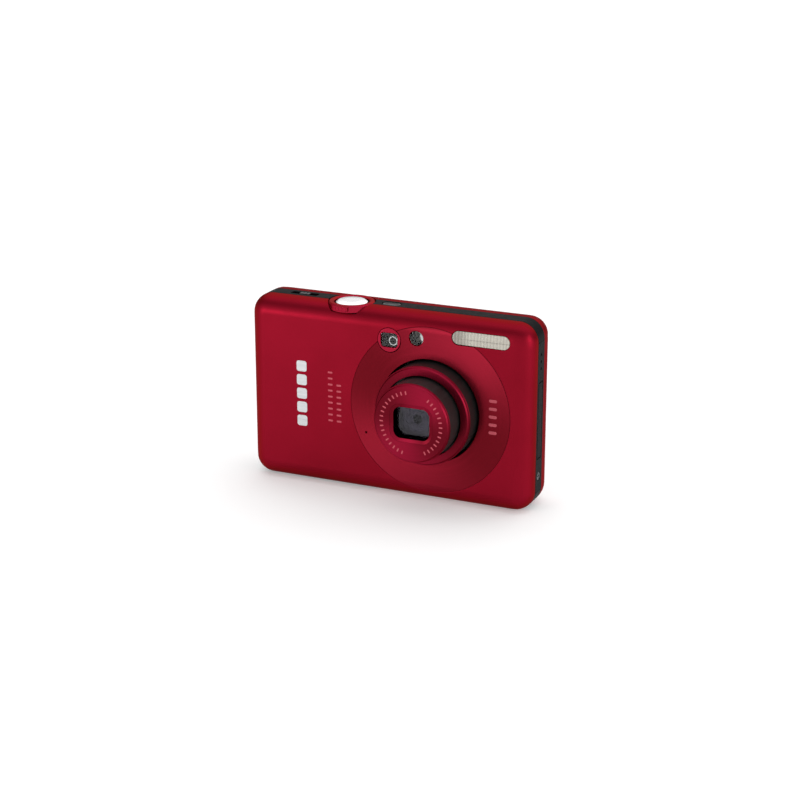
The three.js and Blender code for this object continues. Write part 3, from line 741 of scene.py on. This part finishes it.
red_shell()
# Both spun finishes carry the painted highlight wedges in their base colour.
spun("red_spun", (0.15, 0.006, 0.012), (0.29, 0.012, 0.028), 0.4, 0.7)
spun("red_caps", (0.125, 0.005, 0.012), (0.25, 0.008, 0.027), 0.35, 0.6)
red_satin = dict(Metallic=0.97, Coat_Weight=0.1, Coat_Roughness=0.2, Specular_Tint=RED_EDGE)
plain_finish("red_trim", (0.29, 0.006, 0.024), (0.33, 0.008, 0.03), 0.28, 0.1, 0.05, **red_satin)
plain_finish("pale_red", (0.42, 0.06, 0.085), (0.48, 0.075, 0.1), 0.4, 0.1, 0.1, Metallic=0.6)
flash_diffuser()
dull = dict(Specular_IOR_Level=0.012)
plain_finish("black_band", (0.005, 0.005, 0.0055), (0.009, 0.009, 0.0095), 0.38, 0.09, 0.2, **dull)
brushed("black_barrel", (0.006, 0.0059, 0.0058), (0.011, 0.0107, 0.0104), 0.44, "y", 0.0)
satin = dict(Specular_IOR_Level=0.2)
plain_finish("black_button", (0.008, 0.008, 0.009), (0.013, 0.013, 0.015), 0.3, 0.1, 0.1, **satin)
screen_glass()
glass("clear_window", (0.93, 0.94, 0.93), 0.03)
glass("lens_glass", (0.6, 0.56, 0.68), 0.0)
bright = dict(spread=0.03, Metallic=1.0, Anisotropic=0.3)
plain_finish("polished_steel", (0.92, 0.92, 0.93), (0.97, 0.97, 0.98), 0.16, 0.12, 0.05, **bright)
brushed("dark_steel", (0.05, 0.05, 0.052), (0.08, 0.08, 0.084), 0.35, "x", 0.9)
brushed("steel", (0.5, 0.51, 0.52), (0.62, 0.63, 0.64), 0.32, "x", 1.0)
plain_finish("cast_frame", (0.36, 0.37, 0.38), (0.46, 0.47, 0.49), 0.5, 0.25, 0.5, Metallic=0.9)
circuit_board()
plain_finish("white_plastic", (0.68, 0.65, 0.57), (0.76, 0.73, 0.65), 0.45, 0.2, 0.2)
plain_finish("grey_plastic", (0.085, 0.09, 0.1), (0.12, 0.125, 0.135), 0.5, 0.12, 0.35)
plain_finish("battery_case", (0.035, 0.038, 0.045), (0.05, 0.054, 0.062), 0.46, 0.1, 0.3)

CARRIED_OVER = {
    "cast_frame": ["chassis", "lcd_panel"],
    "circuit_board": ["main_board"],
    "grey_plastic": ["battery_holder", "memory_card", "drive_ring", "pad_rocker"],
    "battery_case": ["battery"],
    "white_plastic": ["battery_lock", "idler_gear", "motor_pinion"],
    "steel": ["door_slider", "zoom_motor", "terminal_block"],
    "dark_steel": ["case_screw_left", "case_screw_right"],
    "black_barrel": ["lens_base", "zoom_lens_cell", "focus_carriage", "viewfinder_tunnel"],
    "lens_glass": ["image_sensor", "zoom_lens", "focus_lens"],
    "clear_window": ["flash_tube"],
    "black_button": ["flash_capacitor"],
}
for slot, names in CARRIED_OVER.items():
    for name in names:
        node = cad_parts[name]
        node.data.materials.clear()
        node.data.materials.append(FINISHES[slot])
        edges = node.modifiers.new("soft_edges", "BEVEL")
        edges.width = 0.08 * MM
        edges.segments = 2
        edges.limit_method = "ANGLE"

# --- red shells ---
ROOT = "camera_body"


def seen(outline_of, growth, face=FRONT_FACE, step=0.8):
    """An outline seen from the front, unrolled on a face."""
    return face.unroll(dense(outline_of(growth)[0], step))


def recess_edge(face):
    """The zoom lever's well where it cuts a face's curved top."""
    darkening = np.linspace(face.y[1], face.flat, 400)
    fall = HEIGHT - round_inset(darkening)[0]
    floor = np.interp(-RECESS_FLOOR, -fall, darkening)
    angle = np.linspace(0, np.pi, 40)
    x = SHUTTER_X - face.sign * RECESS * np.cos(angle)
    y = SHUTTER_Y + face.sign * RECESS * np.sin(angle)
    y = np.minimum(y, floor) if face.sign > 0 else np.maximum(y, floor)
    beyond = face.seam - face.sign * 4
    x = np.concatenate([[x[0]], x, [x[-1]]])
    y = np.concatenate([[beyond], y, [beyond]])
    return dense(face.at(along_top(x), y), 0.5)


DISC = circle(LENS_X, LENS_Z, 200)
FLASH = stadium(FLASH_X, FLASH_Z, FLASH_WIDTH, FLASH_HEIGHT)
FINDER_RING = circle(FINDER_X, FINDER_Z, 64)
LAMP_RING = circle(LAMP_X, LAMP_Z, 48)
LEFT_FOOT = along_left(LEFT_JOINT) - AROUND


def well_floor(shape, front_y, rear_y):
    """The part of the zoom lever's well floor that lies between two depths."""

    def place(points):
        at = np.column_stack([points, np.full(len(points), RECESS_FLOOR)])
        return at, np.tile([0.0, 0.0, 1.0], (len(points), 1))

    rim = circle(SHUTTER_X, SHUTTER_Y, 120)(RECESS - 0.06)[0]
    rim[:, 1] = np.clip(rim[:, 1], front_y, rear_y)
    step = np.arange(-6, 7, 1.5)
    grid = lattice(SHUTTER_X + step, SHUTTER_Y + step)
    moved = norm(rim - np.roll(rim, 1, 0), axis=1) > 0.02
    stem_hole = circle(SHUTTER_X, SHUTTER_Y, 40)(1.9)[0]
    sheet(shape, place, grid, rim[moved], [stem_hole], 0.6, 0.02)


front = Shape()
well_floor(front, WELL_FRONT, FRONT_SEAM)
front_grid = FRONT_FACE.grid()
front_edge = FRONT_FACE.edge(
    [(LEFT_FOOT, DOOR_EDGE, DOOR_FRONT), (DOOR_EDGE, BASE_EDGE, -BASE_HALF)]
)
sheet(
    front, FRONT_FACE.place, front_grid, front_edge,
    [
        seen(DISC, DISC_RADIUS + GROOVE),
        seen(FINDER_RING, BEZEL + 0.2, step=0.4),
        seen(FLASH, 0.22, step=0.5),
        recess_edge(FRONT_FACE),
    ],
)
seat_holes = [
    seen(FLASH, 0.22, step=0.5),
    seen(FINDER_RING, BEZEL + 0.2, step=0.4),
    seen(LAMP_RING, LAMP_RADIUS + 0.15),
    seen(DISC, DISC_HOLE + 0.3),
]
sheet(
    front, FRONT_FACE.place, front_grid, seen(DISC, DISC_RADIUS + GROOVE + 0.1),
    seat_holes, SHELL - DISC_THICK - 0.1, 0.02, DISC_THICK + 0.1,
)
piece("front_shell", front, ROOT, "red_shell", "front_cover")

disc = Shape()
sheet(
    disc, FRONT_FACE.place, front_grid, seen(DISC, DISC_RADIUS - 0.1),
    [
        seen(DISC, DISC_HOLE + 0.1),
        seen(FINDER_RING, BEZEL + 0.22, step=0.4),
        seen(LAMP_RING, LAMP_RADIUS + 0.22),
        seen(FLASH, 0.32, step=0.5),
        seen(circle(MIC_X, MIC_Z, 16), 0.42),
    ],
    DISC_THICK, 0.1,
)
piece("lens_disc", disc, ROOT, "red_spun", "lens_ring_plate")

rear = Shape()
rear_edge = REAR_FACE.edge([(LEFT_FOOT, DOOR_EDGE, DOOR_REAR), (DOOR_EDGE, BASE_EDGE, BASE_HALF)])
SCREEN = rounded(SCREEN_X, SCREEN_Z, SCREEN_WIDTH, SCREEN_HEIGHT, 1.0)
EYEPIECE = rounded(FINDER_X, FINDER_Z, 5.7, 3.9, 0.8)
SMALL_BUTTONS = ["playback_button", "display_button", "menu_button"]
SMALL_RADIUS = 2.2
rear_holes = [
    seen(SCREEN, GROOVE, REAR_FACE),
    seen(EYEPIECE, GROOVE, REAR_FACE, 0.4),
    seen(circle(PAD_X, PAD_Z), PAD_RADIUS + 0.35, REAR_FACE),
    recess_edge(REAR_FACE),
]
for name in SMALL_BUTTONS:
    rear_holes.append(seen(circle(*face_on(name), 40), SMALL_RADIUS + 0.3, REAR_FACE))
sheet(rear, REAR_FACE.place, REAR_FACE.grid(), rear_edge, rear_holes)
well_floor(rear, REAR_SEAM, WELL_REAR)
piece("rear_shell", rear, ROOT, "red_shell", "rear_cover")


# --- black band ---
def band_sheet(start, end, holes=(), loop=None, front_y=BAND_FRONT, rear_y=BAND_REAR):
    """A stretch of the band, between two distances round the outline, or inside a loop."""
    if loop is None:
        loop = polygon([(start, front_y), (end, front_y), (end, rear_y), (start, rear_y)])
    shape = Shape()
    sheet(shape, on_band, band_grid(start, end, front_y, rear_y), loop, holes, BAND_WALL, 0.12)
    return shape


def on_top(points):
    """Points seen from above, (x, y), in the band's own plane."""
    return np.stack([along_top(points[:, 0]), points[:, 1]], 1)


def side_hole(t, y, radius):
    """A round hole in the band at distance t round the outline."""
    return circle(t, y, 32)(radius)[0]


TOP_START = TOP_JOINT + JOINT_GAP
POWER_HOLE = stadium(POWER_X, POWER_Y, 5.8, 3.6)
MODE_SLOT = rounded(MODE_X, MODE_Y, 8.6, 2.4, 0.5)
top_holes = [
    on_top(circle(SHUTTER_X, SHUTTER_Y, 80)(RECESS + 0.1)[0]),
    on_top(POWER_HOLE(0.1)[0]),
    on_top(dense(MODE_SLOT(0.05)[0], 0.8)),
]
band = band_sheet(along_right(TOP_START), along_left(TOP_START), top_holes)
well_floor(band, BAND_FRONT, BAND_REAR)
piece("top_band", band, ROOT, "black_band", "top_cover")

pocket = rounded(along_left(STRAP_Z), STRAP_Y, STRAP_HIGH, STRAP_WIDE, 0.5)
left_holes = [dense(pocket(0.05)[0], 0.8), side_hole(along_left(8), SCREW_Y, SCREW_RADIUS)]
band = band_sheet(along_left(TOP_JOINT), along_left(LEFT_JOINT + JOINT_GAP), left_holes)
POCKET_FLOOR, POCKET_BACK, POCKET_RIM = -39.9, -40.5, -SIDE + 0.15
cup = [
    (-1.4, POCKET_BACK), (0, POCKET_BACK), (0, POCKET_RIM), (0.4, POCKET_RIM), (0.4, POCKET_FLOOR),
    (-1.4, POCKET_FLOOR),
]
loft(band, rounded(STRAP_Y, STRAP_Z, STRAP_WIDE, STRAP_HIGH, 0.5), cup, "x", 0.15)
piece("left_band", band, ROOT, "black_band", "left_side_cover")

right_holes = [
    dense(rounded(along_right(FLAP_Z), FLAP_Y, 22.6, 3.6, 0.4)(0.0)[0], 0.8),
    side_hole(along_right(9.5), SCREW_Y, SCREW_RADIUS),
    *[side_hole(along_right(z), FLAP_Y, 0.5) for z in (41, 43, 45)],
]
band = band_sheet(along_right(RIGHT_JOINT + JOINT_GAP), along_right(TOP_JOINT), right_holes)
piece("right_band", band, ROOT, "black_band", "right_side_cover")

base_end, step_end, half = along_right(RIGHT_JOINT), BASE_EDGE - JOINT_GAP, BASE_HALF - JOINT_GAP
base_loop = polygon(
    [
        (DOOR_EDGE, -half), (step_end, -half), (step_end, BAND_FRONT), (base_end, BAND_FRONT),
        (base_end, BAND_REAR), (step_end, BAND_REAR), (step_end, half), (DOOR_EDGE, half),
    ]
)
socket_hole = circle(TRIPOD_X, 0, 64)(4.25)[0]
band = band_sheet(DOOR_EDGE, base_end, [socket_hole], base_loop, -half, half)
piece("base_cover", band, ROOT, "black_band", "bottom_cover")

HINGE_X, HINGE_Z, KNUCKLE_HALF = -5.45, 0.85, 2.9
DOOR_RIGHT = -4.75
door_left = along_left(LEFT_JOINT - JOINT_GAP) - AROUND
door_front, door_rear = DOOR_FRONT + JOINT_GAP, DOOR_REAR - JOINT_GAP
# Beside its hinge the door is cut back, to stay clear of the shells' inner edges as it swings.
CUT_X, CUT_Y = -5.15, -5.45
NOTCH, TONGUE = -6.9, 3
door_loop = polygon(
    [
        (door_left, door_front), (-6.3, door_front), (-5.9, CUT_Y), (CUT_X, CUT_Y), (CUT_X, -4.5),
        (NOTCH, -4.5), (NOTCH, -TONGUE), (DOOR_RIGHT, -TONGUE), (DOOR_RIGHT, TONGUE),
        (NOTCH, TONGUE), (NOTCH, door_rear), (door_left, door_rear),
    ]
)
door = band_sheet(door_left, DOOR_RIGHT, (), door_loop, door_front, door_rear)
ring(door, HINGE_X, HINGE_Z, 0.8, 0.5, -KNUCKLE_HALF, KNUCKLE_HALF, "y", 0.08, 32)
piece("battery_hatch", door, "battery_door", "black_band", "battery_door")

flap = plate(Shape(), rounded(FLAP_Y, FLAP_Z, 3.1, 22, 0.3), SIDE - 0.95, SIDE, "x", 0.15, 0.7)
piece("terminal_flap", flap, "terminal_cover", "black_band", "terminal_cover")

# --- lens ---
OUTER_FRONT = low("outer_barrel_cap", 1)
INNER_FRONT = low("inner_barrel_cap", 1)
OUTER_RADIUS, OUTER_BORE, OUTER_LIP, OUTER_REAR = 14.3, 13.2, 11.75, -4.6
INNER_RADIUS, INNER_BORE, INNER_REAR = 11.3, 10.2, -11.5
FLANGE_RADIUS, FLANGE_FRONT = 12.9, -12.4  # the inner barrel's rear flange
SEAT = 0.4  # how deep the red caps sit on the barrels


def about_lens(profile, soft=0.12, closed=True, segments=128):
    return loft(Shape(), circle(LENS_X, LENS_Z, segments), profile, "y", soft, closed)


barrel = about_lens(
    [
        (OUTER_RADIUS, OUTER_FRONT + 0.5), (OUTER_RADIUS, OUTER_REAR), (OUTER_BORE, OUTER_REAR),
        (OUTER_BORE, OUTER_FRONT + 1.1), (OUTER_LIP, OUTER_FRONT + 1.1), (OUTER_LIP, OUTER_FRONT + 0.5),
    ],
)
piece("outer_tube", barrel, "outer_barrel", "black_barrel", "outer_barrel")
cap = about_lens(
    [
        (OUTER_LIP, OUTER_FRONT + SEAT), (OUTER_LIP, OUTER_FRONT + 0.1), (OUTER_LIP + 0.1, OUTER_FRONT),
        (13.8, OUTER_FRONT), (14.4, OUTER_FRONT + 0.85), (14.4, OUTER_FRONT + 1.0),
        (OUTER_RADIUS + 0.02, OUTER_FRONT + 1.0), (OUTER_RADIUS + 0.02, OUTER_FRONT + SEAT),
    ],
    0.08,
)
piece("outer_cap", cap, "outer_barrel", "red_caps", "outer_barrel_cap")

barrel = about_lens(
    [
        (INNER_RADIUS, INNER_FRONT + 0.5), (INNER_RADIUS, FLANGE_FRONT),
        (FLANGE_RADIUS, FLANGE_FRONT), (FLANGE_RADIUS, INNER_REAR), (INNER_BORE, INNER_REAR),
        (INNER_BORE, INNER_FRONT + 0.5),
    ],
)
piece("inner_tube", barrel, "inner_barrel", "black_barrel", "inner_barrel")

WINDOW = rounded(LENS_X, LENS_Z, 10.8, 9, 2.2, 12)
cap = about_lens(
    [
        (10.6, INNER_FRONT), (10.8, INNER_FRONT), (11.4, INNER_FRONT + 0.85), (11.4, INNER_FRONT + 1.0),
        (11.32, INNER_FRONT + 1.0), (11.32, INNER_FRONT + SEAT), (10.6, INNER_FRONT + SEAT),
    ],
    0.08,
)
span = np.arange(-10.5, 10.6, 1.4)
cap_grid = lattice(LENS_X + span, LENS_Z + span)
cap_rim = circle(LENS_X, LENS_Z, 128)(10.62)[0]
window_hole = dense(WINDOW(0.95)[0], 0.8)
sheet(cap, facing_front(INNER_FRONT), cap_grid, cap_rim, [window_hole], SEAT, 0.02)
rear_of_cap = INNER_FRONT + SEAT
funnel = [
    (0.93, INNER_FRONT), (1.05, INNER_FRONT), (1.05, rear_of_cap), (0, rear_of_cap),
    (0, rear_of_cap - 0.1),
]
loft(cap, WINDOW, funnel, "y", 0.05, closed=True)
piece("inner_cap", cap, "inner_barrel", "red_caps", "inner_barrel_cap")

ticks = Shape()
TICK_RADIUS = 8.9
for arc_start, arc_end in ((100, 262), (-62, 62)):
    for angle in np.radians(np.arange(arc_start, arc_end, 9.0)):
        x, z = np.array([LENS_X, LENS_Z]) + TICK_RADIUS * ways(angle)
        tick = turned(rounded(0, 0, 1.1, 0.4, 0.18, 3), x, z, angle)
        plate(ticks, tick, INNER_FRONT - 0.015, INNER_FRONT + 0.1, "y", 0.01, 0.1)
piece("cap_ticks", ticks, "inner_barrel", "pale_red")

# Each blade is a segment of a disc, above or below the opening.
BLADE_RADIUS, BLADE_EDGE, BLADE_FRONT = 9.8, 4.75, -21.3
reach = math.acos(BLADE_EDGE / BLADE_RADIUS)
for side, sign in (("upper", 1), ("lower", -1)):
    turn = np.linspace(-reach, reach, 40) + sign * math.pi / 2
    arc = np.array([LENS_X, LENS_Z]) + BLADE_RADIUS * ways(turn)
    blade = Shape()
    sheet(blade, facing_front(BLADE_FRONT), cap_grid, dense(arc, 0.8), (), 0.25, 0.06)
    piece("blade_" + side, blade, "barrier_" + side, "black_barrel", "barrier_blade_" + side)

cell = about_lens(
    [(10, -20.6), (10, -16.6), (8.7, -16.6), (8.7, -17.6), (8.2, -17.9), (8.2, -19.4), (9.4, -20.6)]
)
piece("lens_cell", cell, "inner_barrel", "black_barrel", "front_lens_cell")


def bulge(radius, y, edge, rise, steps=14):
    """The profile of a lens that is edge thick at its rim and domed on both sides."""
    r = np.linspace(0.05, radius, steps)
    dome = rise * (1 - (r / radius) ** 2)
    front_side = [(a, y - edge / 2 - d) for a, d in zip(r, dome)]
    return front_side + [(a, y + edge / 2 + d) for a, d in zip(r[::-1], dome[::-1])]


glass_shape = about_lens(bulge(8.6, -18.6, 1.4, 0.9), 0.0, False, 64)
piece("front_glass", glass_shape, "inner_barrel", "lens_glass", "front_lens")
iris = about_lens([(6.4, -16.5), (6.4, -16.2), (1.3, -16.2), (1.3, -16.3), (3.2, -16.5)], 0.08)
piece("iris_ring", iris, "inner_barrel", "dark_steel")

# --- flash, finder, lamp ---
flash = Shape()
flash_grid = FRONT_FACE.unroll(
    lattice(FLASH_X + np.arange(-8, 8.1, 0.5), FLASH_Z + np.arange(-1.5, 1.6, 0.5))
)
sheet(flash, FRONT_FACE.place, flash_grid, seen(FLASH, -0.08, step=0.4), (), SHELL - 0.1, 0.08)
piece("flash_lens", flash, ROOT, "flash_diffuser", "flash_window")

bowl = loft(
    Shape(), rounded(FLASH_X, FLASH_Z, FLASH_WIDTH - 0.6, FLASH_HEIGHT - 0.5, 1.2),
    [(-1.5, -4.6), (0, -4.6), (0, -7.7), (-0.35, -7.7), (-1.0, -5.2), (-1.5, -5.2)], "y", 0.1,
)
piece("flash_bowl", bowl, ROOT, "polished_steel", "flash_reflector")

bezel = Shape()
finder_hole = rounded(FINDER_X, FINDER_Z, 4.9, 3.9, 0.9)
span = np.arange(-3.2, 3.3, 0.8)
sheet(
    bezel, facing_front(FRONT - 0.1), lattice(FINDER_X + span, FINDER_Z + span),
    FINDER_RING(BEZEL - 0.2)[0], [dense(finder_hole(0.3)[0], 0.6)], 0.9, 0.2,
)
piece("finder_bezel", bezel, ROOT, "red_trim", "viewfinder_bezel")

window = plate(Shape(), rounded(FINDER_X, FINDER_Z, 4.9, 3.9, 0.8), -9.1, -8.5, "y", 0.12, 1.2)
piece("finder_window", window, ROOT, "clear_window", "viewfinder_window")
window = plate(Shape(), EYEPIECE, 8.3, 9.1, "y", 0.12, 1.2)
piece("eyepiece_window", window, ROOT, "clear_window", "viewfinder_eyepiece")

objective = ring(Shape(), FINDER_X + 0.95, FINDER_Z - 0.3, 1.35, 1.0, -8.42, -8.0, "y", 0.1, 40)
piece("finder_objective", objective, ROOT, "steel")

lamp = loft(
    Shape(), LAMP_RING,
    [(0.05, -9.2), (0.9, -9.17), (1.6, -9.06), (LAMP_RADIUS, -8.9), (LAMP_RADIUS, -7.7), (0.05, -7.7)],
    "y", 0.08,
)
piece("lamp_lens", lamp, ROOT, "clear_window", "af_lamp_window")

# --- rear ---
screen = Shape()
sheet(screen, REAR_FACE.place, REAR_FACE.grid(), seen(SCREEN, -0.12, REAR_FACE), (), SHELL - 0.1, 0.12)
piece("screen_window", screen, ROOT, "screen_glass", "lcd_window")

pad = loft(
    Shape(), circle(PAD_X, PAD_Z),
    [
        (PAD_HOLE, 8), (PAD_RADIUS, 8), (PAD_RADIUS, 9.05), (PAD_RADIUS - 0.5, 9.35), (4.6, 9.2),
        (PAD_HOLE, 9.1),
    ],
    "y", 0.2, closed=True,
)
for k in range(4):
    x = PAD_X + 6.4 * math.cos(k * math.pi / 2)
    z = PAD_Z + 6.4 * math.sin(k * math.pi / 2)
    loft(pad, circle(x, z, 24), [(0.05, 9.2), (0.42, 9.2), (0.42, 9.345), (0.05, 9.35)], "y", 0.06)
piece("four_way_pad", pad, "control_pad", "black_button", "control_pad")

button = loft(
    Shape(), circle(PAD_X, PAD_Z, 64),
    [(0.05, 7.4), (3.5, 7.4), (3.5, 9.1), (2.9, 9.28), (1.4, 9.22), (0.05, 9.2)], "y", 0.2,
)
piece("middle_button", button, "set_button", "black_button", "set_button")
for name in SMALL_BUTTONS:
    button = loft(
        Shape(), circle(*face_on(name), 48),
        [(0.05, 7.6), (SMALL_RADIUS, 7.6), (SMALL_RADIUS, 9.15), (1.6, 9.33), (0.05, 9.35)], "y", 0.2,
    )
    piece(name + "_cap", button, name, "black_button", name)

# --- top controls ---
SHUTTER_TOP = high("shutter_button", 2)
button = loft(
    Shape(), circle(SHUTTER_X, SHUTTER_Y, 80),
    [
        (0.05, 51), (1.5, 51), (1.5, 53.2), (4.6, 53.2), (4.6, SHUTTER_TOP - 0.45),
        (3.9, SHUTTER_TOP - 0.08), (2.5, SHUTTER_TOP), (0.05, SHUTTER_TOP),
    ],
    "z", 0.25,
)
piece("release_button", button, "shutter_button", "polished_steel", "shutter_button")

lever = loft(
    Shape(), circle(SHUTTER_X, SHUTTER_Y),
    [(5.0, 52.5), (6.7, 52.5), (6.7, 54.2), (6.3, 54.55), (5.5, 54.55), (5.0, 54.3)],
    "z", 0.15, closed=True,
)
TAB_FRONT, TAB_REAR = low("zoom_lever", 1), -8.8
plate(lever, rounded(SHUTTER_X + 0.1, -9.35, 3.8, 1.0, 0.3), 53, 54.4, "z", 0.2, 0.4)
for aside in (-1.1, 0.1, 1.3):
    rib = rounded(SHUTTER_X + aside, (TAB_FRONT + TAB_REAR) / 2, 0.8, TAB_REAR - TAB_FRONT, 0.3)
    plate(lever, rib, 53.1, 54.3, "z", 0.18, 0.3)
piece("zoom_ring", lever, "zoom_lever", "red_trim", "zoom_lever")

POWER_TOP = high("power_button", 2)
button = loft(
    Shape(), stadium(POWER_X, POWER_Y, 5.4, 3.2),
    [
        (-1.2, 52), (0, 52.9), (0, POWER_TOP - 0.05), (-0.35, POWER_TOP), (-1.0, POWER_TOP - 0.2),
        (-1.2, POWER_TOP - 0.22),
    ],
    "z", 0.15,
)
piece("power_cap", button, "power_button", "black_button", "power_button")

knob = plate(Shape(), rounded(MODE_X, MODE_Y, 10.4, 3.6, 0.4), 52.3, 53, "z", 0.1, 0.5)
for k in (-1, 0, 1):
    plate(knob, rounded(MODE_X + k * 1.05, MODE_Y, 1.0, 1.8, 0.3), 52.9, 54.6, "z", 0.2, 0.4)
piece("mode_knob", knob, "mode_switch", "black_button", "mode_switch")

# --- strap bar and tripod socket ---
BAR_RADIUS = 0.55
bar = loft(
    Shape(), circle(low("strap_bar", 0) + BAR_RADIUS, middle("strap_bar")[1], 32),
    [(0.05, 44.3), (BAR_RADIUS, 44.3), (BAR_RADIUS, 48.2), (0.05, 48.2)], "z", 0.08,
)
piece("strap_pin", bar, ROOT, "polished_steel", "strap_bar")
PITCH, CREST, ROOT_RADIUS = 25.4 / 20, 2.7, 3.17  # a quarter-inch tripod thread
thread = [(4.0, 0), (4.0, 7), (0.05, 7), (0.05, 5.6), (2.9, 5.6)]
for k in range(4):
    thread += [(CREST, 5.0 - k * PITCH), (ROOT_RADIUS, 5.0 - (k + 0.5) * PITCH)]
thread += [(ROOT_RADIUS, 0.3), (3.5, 0)]
socket = loft(Shape(), circle(TRIPOD_X, 0, 64), thread, "z", 0.05, closed=True)
piece("tripod_nut", socket, ROOT, "steel", "tripod_socket")

# --- generic marks in place of lettering ---
MARK_FRONT = FRONT - 0.03


def column(shape, x, first, pitch, count, width, height, radius, inner, steps=8):
    """Equal marks one above another on the front."""
    for k in range(count):
        mark = rounded(x, first + k * pitch, width, height, radius, steps)
        plate(shape, mark, MARK_FRONT, FRONT + 0.1, "y", 0.02, inner)


marks = Shape()
column(marks, -26.4, 18.8, 4.1, 5, 3.2, 3.2, 0.7, 0.9)
piece("silver_marks", marks, ROOT, "steel")
dashes = Shape()
column(dashes, -17.3, 20.0, 1.8, 9, 1.5, 0.55, 0.25, 0.2, 4)
column(dashes, -14.6, 20.0, 1.8, 7, 1.5, 0.55, 0.25, 0.2, 4)
column(dashes, 32.6, 23.2, 2.3, 5, 2.4, 0.9, 0.4, 0.3, 4)
piece("front_dashes", dashes, ROOT, "pale_red")

# --- floor, light, camera ---
FLOOR = 6.0  # half its side, in metres, like the rest of this section
floor_mesh = bpy.data.meshes.new("floor")
floor_corners = [(-FLOOR, -FLOOR, 0), (FLOOR, -FLOOR, 0), (FLOOR, FLOOR, 0), (-FLOOR, FLOOR, 0)]
floor_mesh.from_pydata(floor_corners, [], [(0, 1, 2, 3)])
floor = linked("floor", floor_mesh)
floor.location.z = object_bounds()[0].z - 0.0001
paper = Graph("paper", Roughness=0.9, Emission_Color=(1, 1, 1, 1), Emission_Strength=0.24)
paper.colour(paper.between(paper.noise(3), 0, 1), (0.86,) * 3, (0.88,) * 3)
floor_mesh.materials.append(paper.material)


def light_card(name, at, target, size, power):
    data = bpy.data.lights.new(name, "AREA")
    data.shape = "RECTANGLE"
    data.size, data.size_y = size
    data.energy = power
    made = linked(name, data)
    made.location = at
    made.rotation_euler = (Vector(target) - Vector(at)).to_track_quat("-Z", "Y").to_euler()


light_card("left_card", (-0.27, -0.34, 0.08), (-0.04, 0, 0.045), (0.15, 0.09), 0.26)
light_card("right_card", (0.8, -0.1, 0.25), (0, 0, 0.027), (0.3, 0.5), 1.6)

# The studio is bright above, grey behind and pale in front, so the curved edges show.
UPWARD = (0.0, 0.5, 0.86)
SKY = ((0.05, 0.75), (0.3, 0.32), (0.52, 0.28), (0.78, 1.0))  # place on the ramp, grey
world = bpy.data.worlds.new("studio")
bpy.context.scene.world = world
world.use_nodes = True
nodes, links = world.node_tree.nodes, world.node_tree.links
direction = nodes.new("ShaderNodeTexCoord")
lean = nodes.new("ShaderNodeVectorMath")
lean.operation = "DOT_PRODUCT"
lean.inputs[1].default_value = UPWARD
ramp = nodes.new("ShaderNodeValToRGB")
links.new(direction.outputs["Generated"], lean.inputs[0])
links.new(lean.outputs["Value"], ramp.inputs[0])
links.new(ramp.outputs[0], nodes["Background"].inputs[0])
stops = ramp.color_ramp.elements
for _ in SKY[2:]:
    stops.new(0.5)
for stop, (level, grey) in zip(stops, SKY):
    stop.position, stop.color = level, (grey, grey, grey, 1)
nodes["Background"].inputs[1].default_value = 1.35

AZIMUTH, ELEVATION = math.radians(24.3), math.radians(18.0)
DISTANCE = 0.537
TARGET = Vector((0.0004, 0, 0.0258))
level = math.cos(ELEVATION)
back = Vector((math.sin(AZIMUTH) * level, -math.cos(AZIMUTH) * level, math.sin(ELEVATION)))
camera_data = bpy.data.cameras.new("camera")
camera_data.sensor_width = 36
camera_data.lens = 84.24
camera_data.clip_start = 0.01
camera = linked("camera", camera_data)
camera.location = TARGET + back * DISTANCE
camera.rotation_euler = (-back).to_track_quat("-Z", "Y").to_euler()
bpy.context.scene.camera = camera
bpy.context.scene.view_settings.view_transform = "Standard"
